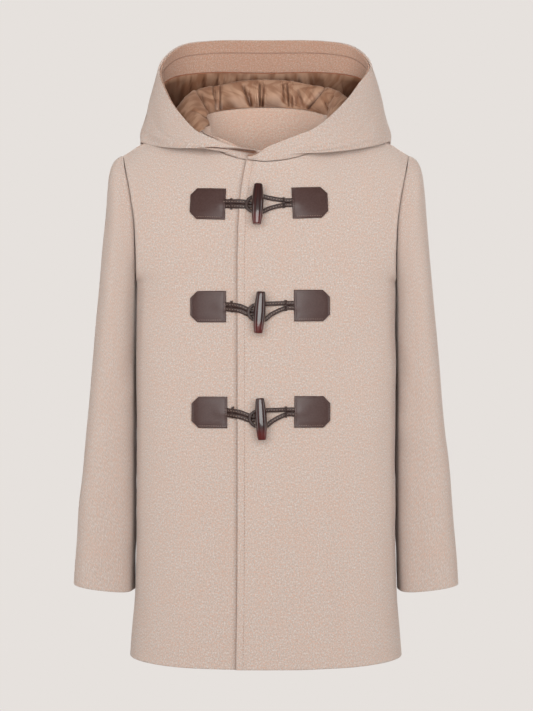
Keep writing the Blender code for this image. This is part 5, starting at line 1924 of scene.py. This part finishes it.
@dataclass
class HoodLining:
    """The gathered satin lining: roll, pouch and rear wall in one piece."""

    thickness: float = 0.0010
    thinnest: float = 0.0008
    start: float = 3.95
    end: float = 4.1
    columns: int = 700
    pouch_clear: float = 0.028
    pouch_depth: float = 0.0055
    rear_clear: float = 0.0030
    roll_out: float = 0.0060
    seam_inset: float = 0.0068
    seam_lift: float = 0.0005
    gather_fade: float = 0.0026
    gather_power: float = 1.6
    gather_depth: float = 1.5
    seed: int = 61
    deepest_rear: float = 0.0017

    def places(self) -> Array:
        """Give the columns, evenly spread along the roll."""
        plain = np.linspace(self.start, HOOD.whole - self.end, 200)
        way = way_along(HOOD.profile(self.controls(plain), np.ones_like(plain)))
        return np.interp(np.linspace(0.0, way[-1], self.columns), way, plain)

    def pouch(self, side: int, own: Array) -> Array:
        """Give the five control points inside one side of the shell."""
        shell = HOOD.controls(side, own)
        spans = np.linalg.norm(np.diff(shell, axis=-2), axis=-1)
        near = spans[..., 1]
        far = spans[..., 2:5].sum(axis=-1) - 0.0004
        clear = np.minimum(self.pouch_clear, 0.6 * near)
        rise = np.minimum(self.pouch_clear, 0.7 * far)
        run = run_lengths(shell[:, 2:], 1)

        def above(length: Array) -> Array:
            """Turn a length above the fold into a place on the profile."""
            knot = np.full_like(length, 2.0)
            for step in range(spans.shape[-1] - 2):
                part = (length - run[:, step]) / spans[:, 2 + step]
                knot = np.where(length > run[:, step], 2.0 + step + part, knot)
            return np.minimum(knot, HOOD.rim_knot)

        rear = self.pouch_depth + self.rear_clear * smooth_step(3.0, 6.2, own)
        rows = ((1.0 + 0.45 * (1.0 - clear / near), self.pouch_depth),
                (2.0 - clear / near, self.pouch_depth), (above(rise), self.pouch_depth),
                (above(rise + 0.5 * (far - rise)), rear),
                (above(far), HOOD.wool + 0.0010 + HOOD.facing / 2.0))
        return np.stack([moved(HOOD.points(side, own, knot), HOOD.normals(side, own, knot),
                               -(depth + 0.0 * own)) for knot, depth in rows], axis=-2)

    def controls(self, place: Array) -> Array:
        """Give the control points from the neck seam to the facing band, by place."""
        _, own = around(place)
        full = smooth_step(3.0, 6.2, own)[..., None]
        neck, inward = neck_frame(place)
        lean = (facing_lean(place) + facing_flare(place))[..., None]
        seam = moved(neck + inward * (self.seam_inset - lean), UP, facing_height(place) + self.seam_lift)
        peak = HOOD.roll_peak * smooth_step(7.5, 8.7, own)[..., None]
        crest = by_side(place, lambda side, part: HOOD.points(side, part, np.ones_like(part)))
        top = crest + UP * (0.007 + 0.010 * full + peak) + inward * 0.003
        bulge = seam * 0.5 + top * 0.5 + inward * (0.002 + self.roll_out * full)
        return np.concatenate([np.stack([seam, bulge, top], axis=-2), by_side(place, self.pouch)],
                              axis=-2)

    def fold_depth(self, points: Array, k: Array) -> tuple[Array, Array]:
        """Tell how far the gathers of the roll and of the rear wall sink at each point.

        Args:
            points: The grid.
            k: The place of each point along the profile.

        Returns:
            Both depths in metres.
        """
        x, z = points[..., 0], points[..., 2]
        roll = np.zeros_like(x)
        for fold in GATHERS:
            over, beside, _ = fold.reach(x, z)
            shape = bell(np.abs(beside), fold.width, self.gather_power)
            roll += fold.depth * shape * bell(over, self.gather_fade)
        roll = roll * smooth_step(0.0, 0.16, k) * (0.35 + 0.65 * smooth_step(2.0, 1.4, k))
        roll = roll * smooth_step(2.8, 2.1, k)
        chance = np.random.default_rng(self.seed)
        way = run_lengths(points, 1)[6]
        rear = np.zeros_like(x)
        spot = 0.0
        while spot < float(way.max()):
            width = chance.uniform(0.0012, 0.0030)
            size = chance.uniform(0.0008, 0.0026)
            lean = chance.uniform(-0.004, 0.004)
            low = chance.uniform(3.6, 4.8)
            beside = way - spot - lean * (7.0 - k)
            rear += size * bell(beside, width) * smooth_step(low, low + 1.2, k)
            spot += chance.uniform(0.0040, 0.0100)
        return roll, (np.minimum(rear, self.deepest_rear) - 0.0012) * hump(4.0, 5.2, 6.7, 7.0, k)

    def build(self, palette: Palette) -> None:
        """Make the lining."""
        places = self.places()
        knots = rungs([0.0, 0.02, 0.05], (0.1, 3.0, 34), (3.0, 5.0, 9), (5.0, 7.0, 15))
        controls = self.controls(places)
        points = np.stack([HOOD.profile(controls, np.full_like(places, knot)) for knot in knots])
        normals = facing(points, HOLLOW - points)
        k = knots[:, None] + 0.0 * points[..., 0]
        roll, rear = self.fold_depth(points, k)
        points = moved(points, normals, -(self.gather_depth * roll + rear))
        # painted shade: darker in the roll's folds, in bands across the rear wall and in its gathers,
        # and near the seam
        shade = 0.85 * np.clip(roll / 0.0024, 0.0, 1.0)
        shade += painted_shade_at(REAR_PAINTED_SHADE, points[..., 0]) * hump(3.2, 4.6, 6.86, 6.96, k)
        shade += painted_shade_at(ROLL_PAINTED_SHADE, points[..., 0]) * smooth_step(0.95, 0.10, k)
        shade = np.clip(shade + 0.5 * np.clip((rear - 0.0001) / 0.0012, 0.0, 1.0), 0.0, 1.15)
        edges = (Edge.SEAM, Edge.PLAIN, Edge.TURNED, Edge.TURNED)
        cloth = Cloth("hood_lining_satin", points, facing(points, normals), self.thickness, edges,
                      groove=0.0004, inner_limit=self.thinnest, shade=shade)
        piece = dress(cloth.build(palette.satin), Slot.SATIN, "hood_lining")


# ------------------------------------------------------------------ fastenings
class Row(NamedTuple):
    """One fastening: middles and tilts (degrees) of its patches and toggle."""

    left_x: float
    left_z: float
    left_tilt: float
    right_x: float
    right_z: float
    right_tilt: float
    toggle_x: float
    toggle_z: float
    toggle_tilt: float


ROWS = (
    Row(-0.0668, -0.0775, -2.0, 0.0505, -0.0766, 2.5, -0.0095, -0.0790, 2.0),
    Row(-0.0661, -0.1963, 0.0, 0.0527, -0.1952, 0.5, -0.0072, -0.2034, 4.0),
    Row(-0.0646, -0.3180, 0.0, 0.0530, -0.3173, -0.5, -0.0056, -0.3251, -3.0),
)


@dataclass
class Patch:
    """A leather patch with two cut corners, sewn on along its edge."""

    name: str
    x: float
    z: float
    tilt: float
    side: int
    width: float = 0.0410
    height: float = 0.0362
    cut: float = 0.0080
    thickness: float = 0.0020
    gap: float = 0.0009
    inset: float = 0.0026
    rise: float = 0.00045
    seam: float = 0.00035
    swell: float = 0.0009

    def place(self, reach: Array, across: Array, out: Array) -> Array:
        """Lay places of the patch on the front.

        Args:
            reach: Distance from the uncut edge.
            across: Height from the middle line.
            out: Distance out from the front.

        Returns:
            Points.
        """
        turn = math.radians(self.tilt)
        local_x = (self.width / 2.0 - reach) * self.side
        x = self.x + local_x * math.cos(turn) - across * math.sin(turn)
        z = self.z + local_x * math.sin(turn) + across * math.cos(turn)
        return moved(*FORM.front_at(x, z), out)

    def half_height(self, reach: Array) -> Array:
        """Give the half height at a distance from the uncut edge."""
        return self.height / 2.0 - np.maximum(0.0, self.cut - (self.width - reach))

    def top(self, reach: Array, across: Array) -> Array:
        """Give how far out the patch's face lies, with its crown, seam and strap below it."""
        edge = np.minimum(np.minimum(reach, self.width - reach),
                          self.half_height(reach) - np.abs(across))
        crown = self.rise * smooth_step(0.0, 0.009, edge) - self.seam * bell(edge - self.inset, 0.0007)
        strap = self.swell * bell(across, 0.0068) * smooth_step(0.020, 0.002, reach)
        return self.gap + self.thickness + crown + strap

    def build(self, palette: Palette) -> None:
        """Make the patch."""
        reach, part = np.meshgrid(edged_steps(30, self.width) * self.width,
                                  edged_steps(28, self.height) * 2.0 - 1.0)
        across = part * self.half_height(reach)
        points = self.place(reach, across, self.top(reach, across))
        cloth = Cloth(self.name + "_leather", points, facing(points, FORWARD), self.thickness,
                      ALL_TURNED)
        dress(cloth.build(palette.leather), Slot.LEATHER, self.name)

    def stitch_paths(self) -> tuple[Array, Array]:
        """Give the line of stitches round the patch and the pale one along its lower edge."""
        i = self.inset
        half = self.height / 2.0 - i
        far = self.width - i
        near = self.width - self.cut - 0.4 * i
        corner = self.height / 2.0 - self.cut - 0.4 * i
        corners = [(i, half), (near, half), (far, corner), (far, -corner), (near, -half), (i, -half),
                   (i, half)]
        sides = [np.linspace(start, end, max(2, int(math.dist(start, end) / 0.001)), endpoint=False)
                 for start, end in zip(corners, corners[1:])]
        reach, across = np.concatenate(sides).T
        line = self.place(reach, across, self.top(reach, across) + STITCH_OUT)
        low = (across < -half + 0.0001) & (reach > 2.0 * i)
        first = int(np.argmax(low))
        last = first + int(np.sum(low))
        return np.concatenate([line[last - 1:], line[:first + 1]]), line[first:last]


def smooth_path(points: Sequence[Array], steps: int) -> Array:
    """Fill in a smooth curve through a few points."""
    table = np.array(points)
    keys = way_along(table)
    at = [np.linspace(a, b, steps, endpoint=False) for a, b in zip(keys, keys[1:])]
    return spline(keys, table, np.concatenate([*at, keys[-1:]]))


def rounded(wave: Array, power: float) -> Array:
    """Square off a wave between -1 and 1, and halve it."""
    return np.copysign(np.abs(wave) ** power, wave) * 0.5


@dataclass
class Strands:
    """Flat strips with round sides that make one piece."""

    vertices: list[Array] = field(default_factory=list)
    faces: list[list[int]] = field(default_factory=list)
    sides: int = 16
    square: float = 0.6
    flat: float = 0.9
    dent: float = 0.08
    end: float = 0.0004
    face_share: float = 0.46

    def sweep(self, path: Array, width: Array, thick: float, face: Array) -> Array:
        """Sweep a strip along a path.

        Args:
            path: Points as rows.
            width: Width at each point.
            thick: Thickness.
            face: Direction its flat side looks in, at each point.

        Returns:
            The front's middle line.
        """
        run = unit(np.gradient(path, axis=0))
        across = unit(np.cross(run, face))
        looks = unit(np.cross(across, run))
        angle = np.linspace(0.0, 2.0 * np.pi, self.sides, endpoint=False)
        a, b = rounded(np.cos(angle), self.square), rounded(np.sin(angle), self.flat)
        b = b - self.dent * bell(a, 0.12) * (b > 0.0)
        rings = (path[:, None] + across[:, None] * (a[None, :, None] * width[:, None, None])
                 + looks[:, None] * (b[None, :, None] * thick))
        start = sum(len(points) for points in self.vertices)
        index = ring_index(len(path), self.sides) + start
        total = start + len(path) * self.sides
        self.faces += grid_faces(index).tolist()
        self.faces += [[right, left, total] for left, right in zip(index[0], index[0, 1:])]
        self.faces += [[left, right, total + 1] for left, right in zip(index[-1], index[-1, 1:])]
        ends = [path[0] - run[0] * self.end, path[-1] + run[-1] * self.end]
        self.vertices += [rings.reshape(-1, 3), np.array(ends)]
        return path + looks * (thick * self.face_share)

    def build(self, name: str, palette: Palette) -> None:
        """Make the piece."""
        made = make_object(name + "_leather", np.concatenate(self.vertices), self.faces, palette.strap)
        dress(made, Slot.LEATHER, name)


@dataclass
class Fastening:
    """Two patches, the doubled strap with its toggle, and the loop that goes round it."""

    number: int
    row: Row
    patch_width: float = 0.0410
    strap_strand: float = 0.0052
    strap_apart: float = 0.00268
    strap_ties: Triple = (0.0052, 0.0062, 0.0072)
    loop_width: float = 0.0050
    loop_ties: Triple = (0.0086, 0.0096, 0.0106)
    thick: float = 0.0024
    toggle_length: float = 0.0480
    toggle_radius: float = 0.0068
    toggle_end: float = 0.0042
    toggle_out: float = 0.0150
    toggle_sides: int = 36
    stitch_lines: list[Array] = field(default_factory=list)
    tie_lines: list[Array] = field(default_factory=list)

    def patches(self) -> tuple[Patch, Patch]:
        """Give the two patches."""
        row = self.row
        return (Patch(f"patch_right_{self.number}", row.left_x, row.left_z, row.left_tilt, 1),
                Patch(f"patch_left_{self.number}", row.right_x, row.right_z, row.right_tilt, -1))

    def strap_middle(self) -> Array:
        """Give the strap's middle line, from its patch into the toggle."""
        row = self.row
        x, z = row.toggle_x, row.toggle_z
        edge = -FORM.edge_share * FORM.half_chest
        return smooth_path([FORM.lifted(*place) for place in (
            (row.left_x + self.patch_width / 2.0 - 0.0016, row.left_z, 0.0024),
            (edge - 0.0010, row.left_z * 0.8 + z * 0.2, FORM.lap_lift + 0.0020),
            (edge + 0.0050, row.left_z * 0.6 + z * 0.4, 0.0024),
            (x - 0.0120, z + 0.0004, 0.0024), (x - 0.0055, z, 0.0030), (x - 0.0018, z, 0.0054),
            (x - 0.0002, z, 0.0084), (x, z, 0.0112))], 8)

    def build_strap(self, palette: Palette) -> None:
        """Make the doubled strap of two strands."""
        path = self.strap_middle()
        face = unit(np.cross(unit(np.gradient(path, axis=0)), UP))
        face *= np.where(face[:, 1:2] + face[:, 0:1] > 0.0, -1.0, 1.0)
        near = smooth_step(self.row.toggle_x - 0.016, self.row.toggle_x - 0.006, path[:, 0])
        strands = Strands()
        for sign in (1.0, -1.0):
            line = path + UP * (sign * (self.strap_apart - 0.0009 * near))[:, None]
            top = strands.sweep(line, self.strap_strand - 0.0016 * near, self.thick, face)
            self.stitch_lines.append(top[line[:, 0] < self.row.toggle_x - 0.0060])
        strands.build(f"strap_{self.number}", palette)
        start = self.row.left_x + self.patch_width / 2.0
        self.tie_lines += [self.tie(start + step, self.row.left_z, 0.0128, 0.0042)
                           for step in self.strap_ties]

    def tie(self, x: float, z: float, height: float, out: float) -> Array:
        """Give one turn of thread across the strands."""
        return np.array([FORM.lifted(x, z + height * s, out * (1.0 - (2.0 * s) ** 4) + 0.0008)
                         for s in np.linspace(-0.5, 0.5, 14)])

    def loop_path(self) -> Array:
        """Give the loop's middle line: out along one strand and back along the other."""
        row = self.row
        start = row.right_x - self.patch_width / 2.0 + 0.0016
        half = self.loop_width / 2.0 + 0.0003
        x, z, patch_z = row.toggle_x, row.toggle_z, row.right_z
        middle = (patch_z + z) / 2.0
        return smooth_path([FORM.lifted(*place) for place in (
            (start, patch_z + half, 0.0022), (start - 0.0100, patch_z + half - 0.0001, 0.0028),
            (x + 0.0150, middle + 0.0062, 0.0042), (x + 0.0045, z + 0.0098, 0.0056),
            (x - 0.0050, z + 0.0092, 0.0060), (x - 0.0108, z + 0.0055, 0.0061),
            (x - 0.0128, z, 0.0062), (x - 0.0108, z - 0.0052, 0.0061),
            (x - 0.0050, z - 0.0086, 0.0060), (x + 0.0045, z - 0.0088, 0.0056),
            (x + 0.0150, middle - 0.0052, 0.0042), (start - 0.0100, patch_z - half + 0.0001, 0.0028),
            (start, patch_z - half, 0.0022))], 8)

    def build_loop(self, palette: Palette) -> None:
        """Make the loop and note where its threads lie."""
        path = self.loop_path()
        behind = path[:, 0] < self.row.toggle_x + 0.002
        width = np.where(behind, self.loop_width - 0.0012, self.loop_width)
        width = np.convolve(np.pad(width, 3, mode="edge"), np.ones(7) / 7.0, mode="valid")
        strands = Strands()
        top = strands.sweep(path, width, self.thick, np.tile(FORWARD, (len(path), 1)))
        strands.build(f"loop_{self.number}", palette)
        shown = top[:, 0] > self.row.toggle_x + 0.0050
        first = int(np.argmin(shown))
        last = len(shown) - int(np.argmin(shown[::-1]))
        self.stitch_lines += [top[:first], top[last:]]
        start = self.row.right_x - self.patch_width / 2.0
        self.tie_lines += [self.tie(start - step, self.row.right_z, 0.0122, 0.0044)
                           for step in self.loop_ties]

    def build_toggle(self, palette: Palette) -> None:
        """Make the polished toggle."""
        ends = np.array([0.480, 0.488, 0.494, 0.498, 0.4995, 0.5])
        along = np.concatenate([-ends[::-1], np.linspace(-0.46, 0.46, 40), ends])
        bulge = np.cos(np.pi * np.clip(along, -0.48, 0.48) * 0.93) ** 0.75
        radius = self.toggle_end + (self.toggle_radius - self.toggle_end) * bulge
        over = np.clip((np.abs(along) - 0.476) / 0.024, 0.0, 1.0)
        radius = radius * (1.0 - 0.34 * (1.0 - np.sqrt(np.maximum(1.0 - over ** 2, 0.0))))
        angle = np.linspace(0.0, 2.0 * np.pi, self.toggle_sides, endpoint=False)
        rings = stack(radius[:, None] * np.cos(angle), radius[:, None] * np.sin(angle) * 0.96,
                      along[:, None] * self.toggle_length)
        row = self.row
        _, normal = FORM.front_at(row.toggle_x, row.toggle_z)
        pitch = Matrix.Rotation(-math.asin(float(normal[2])), 3, "X")
        roll = Matrix.Rotation(math.radians(row.toggle_tilt), 3, "Y")
        points = rings.reshape(-1, 3) @ np.array(roll @ pitch).T
        index = ring_index(len(along), self.toggle_sides)
        girth = np.arange(self.toggle_sides + 1) * 2.0 * np.pi * self.toggle_radius
        v = (along + 0.5) * self.toggle_length
        uvs = np.stack(np.meshgrid(girth / self.toggle_sides, v), axis=-1)
        caps = np.repeat([[0.0, v[0]], [0.0, v[-1]]], self.toggle_sides, axis=0)
        faces = [*grid_faces(index), index[0, -2::-1], index[-1, :-1]]
        piece = make_object(f"toggle_{self.number}_horn",
                            points + FORM.lifted(row.toggle_x, row.toggle_z, self.toggle_out), faces,
                            palette.horn, np.concatenate([grid_faces(uvs).reshape(-1, 2), caps]))
        dress(piece, Slot.HORN, f"toggle_{self.number}")

    def build(self, palette: Palette) -> None:
        """Make the whole fastening."""
        for patch in self.patches():
            patch.build(palette)
        self.build_strap(palette)
        self.build_loop(palette)
        self.build_toggle(palette)


# ------------------------------------------------------------------ studio
@dataclass(frozen=True)
class Lamp:
    """One soft rectangular light: where it hangs and looks, its size, power and colour."""

    name: str
    place: Triple
    aim: Triple
    size: tuple[float, float]
    power: float
    color: Triple

    def hang(self) -> None:
        """Make the light."""
        data = bpy.data.lights.new(self.name, "AREA")
        data.shape = "RECTANGLE"
        data.size, data.size_y = self.size
        data.energy = self.power
        data.color = self.color
        light = place_object(self.name, data)
        light.location = self.place
        way = Vector(self.aim) - Vector(self.place)
        light.rotation_euler = way.to_track_quat("-Z", "Y").to_euler()
        light.visible_camera = False


MIDDLE = (0.0, 0.0, -0.22)
LAMPS = (
    Lamp("front_light", (0.0, -2.0, 0.05), (0.0, 0.0, -0.05), (2.2, 1.1), 40.4, (0.985, 0.995, 0.985)),
    Lamp("left_light", (2.4, -0.6, -0.05), MIDDLE, (0.7, 1.6), 9.0, (1.0, 0.985, 0.965)),
    Lamp("right_light", (-2.4, -0.6, -0.05), MIDDLE, (0.7, 1.6), 9.0, (1.0, 0.985, 0.965)),
    Lamp("back_light", (0.6, 3.2, 0.4), MIDDLE, (1.6, 1.9), 84.0, (1.0, 0.99, 0.98)),
)


@dataclass
class Studio:
    """Floor, backdrop, lights and camera."""

    floor_z: float = -1.25
    floor_radius: float = 7.0
    bend_radius: float = 1.5
    bend_steps: int = 12
    wall_height: float = 5.0
    turns: int = 96
    camera_place: Triple = (0.0007, -2.6, -0.2526)
    lens: float = 109.7

    def build_floor(self) -> None:
        """Make the floor, which turns up far away into a round backdrop."""
        bend = math.pi / 2.0 * np.arange(self.bend_steps + 1) / self.bend_steps
        start = self.floor_radius - self.bend_radius
        radius = np.array([2.0, 4.0, *(start + self.bend_radius * np.sin(bend)), self.floor_radius])
        height = np.array([0.0, 0.0, *(self.bend_radius - self.bend_radius * np.cos(bend)),
                           self.wall_height])
        angle = 2.0 * math.pi * np.arange(self.turns) / self.turns
        rings = stack(radius[:, None] * np.cos(angle), radius[:, None] * np.sin(angle),
                      self.floor_z + height[:, None])
        vertices = np.concatenate([rings.reshape(-1, 3), [[0.0, 0.0, self.floor_z]]])
        index = ring_index(len(radius), self.turns)
        faces = [(len(vertices) - 1, j, k) for j, k in zip(index[0], index[0, 1:])]
        faces += list(grid_faces(index)[:, [0, 3, 2, 1]])
        make_object("studio_floor", vertices, faces, PAPER.make())

    def build(self) -> None:
        """Set up the studio."""
        scene = bpy.context.scene
        self.build_floor()
        world = bpy.data.worlds.new("studio_air")
        world.use_nodes = True
        Tree(world.node_tree).feed(world.node_tree.nodes["Background"], Color=PAPER.given,
                                   Strength=PAPER.given_back)
        scene.world = world
        for lamp in LAMPS:
            lamp.hang()
        scene.view_settings.view_transform = "Standard"
        data = bpy.data.cameras.new("camera")
        data.lens = self.lens
        camera = place_object("camera", data)
        camera.location = self.camera_place
        camera.rotation_euler = (math.pi / 2.0, 0.0, 0.0)
        scene.camera = camera


def sew_all(palette: Palette, fronts: Fronts, band: HoodBand, rows: Sequence[Fastening]) -> None:
    """Sew every line of stitches, as one piece for each kind."""
    seam_line, edge_line = band.paths()
    round_lines, low_lines = zip(*(patch.stitch_paths() for row in rows for patch in row.patches()))
    strap_lines = [line for row in rows for line in row.stitch_lines if len(line) > 2]
    tie_lines = [line for row in rows for line in row.tie_lines]
    sewing = Sewing()
    for name, paths, thread, stitch in (
            ("placket_topstitch", [fronts.stitch_path()], palette.seam_thread, Stitch()),
            ("band_topstitch", [seam_line], palette.seam_thread, Stitch()),
            ("band_edge_stitch", [edge_line], palette.edge_thread, Stitch(0.0011, 0.0024, 0.0006, 0.0)),
            ("patch_stitch", round_lines, palette.dark_thread, Stitch(0.0021, 0.0015, 0.00030)),
            ("patch_low_stitch", low_lines, palette.leather_thread,
             Stitch(0.0021, 0.0013, 0.00036, 0.2)),
            ("strap_stitch", strap_lines, palette.leather_thread,
             Stitch(0.0031, 0.0021, 0.00038, 0.35)),
            ("tie_thread", tie_lines, palette.dark_thread, Stitch(0.0008, 0.0018, 0.00042, 0.0))):
        sewing.sew(name, paths, thread, stitch)


def main() -> None:
    """Dress the coat, piece by piece, and set up the studio."""
    palette = Palette()
    fronts = Fronts()
    fronts.build(palette)
    Back().build(palette)
    Sleeve("sleeve_left", 1, 23).build(palette)
    Sleeve("sleeve_right", -1, 21).build(palette)
    HoodShell().build(palette)
    band = HoodBand()
    band.build(palette)
    NeckFacing().build(palette)
    HoodLining().build(palette)
    rows = [Fastening(number, row) for number, row in enumerate(ROWS, start=1)]
    for fastening in rows:
        fastening.build(palette)
    sew_all(palette, fronts, band, rows)
    Studio().build()


if __name__ == "__main__":
    main()
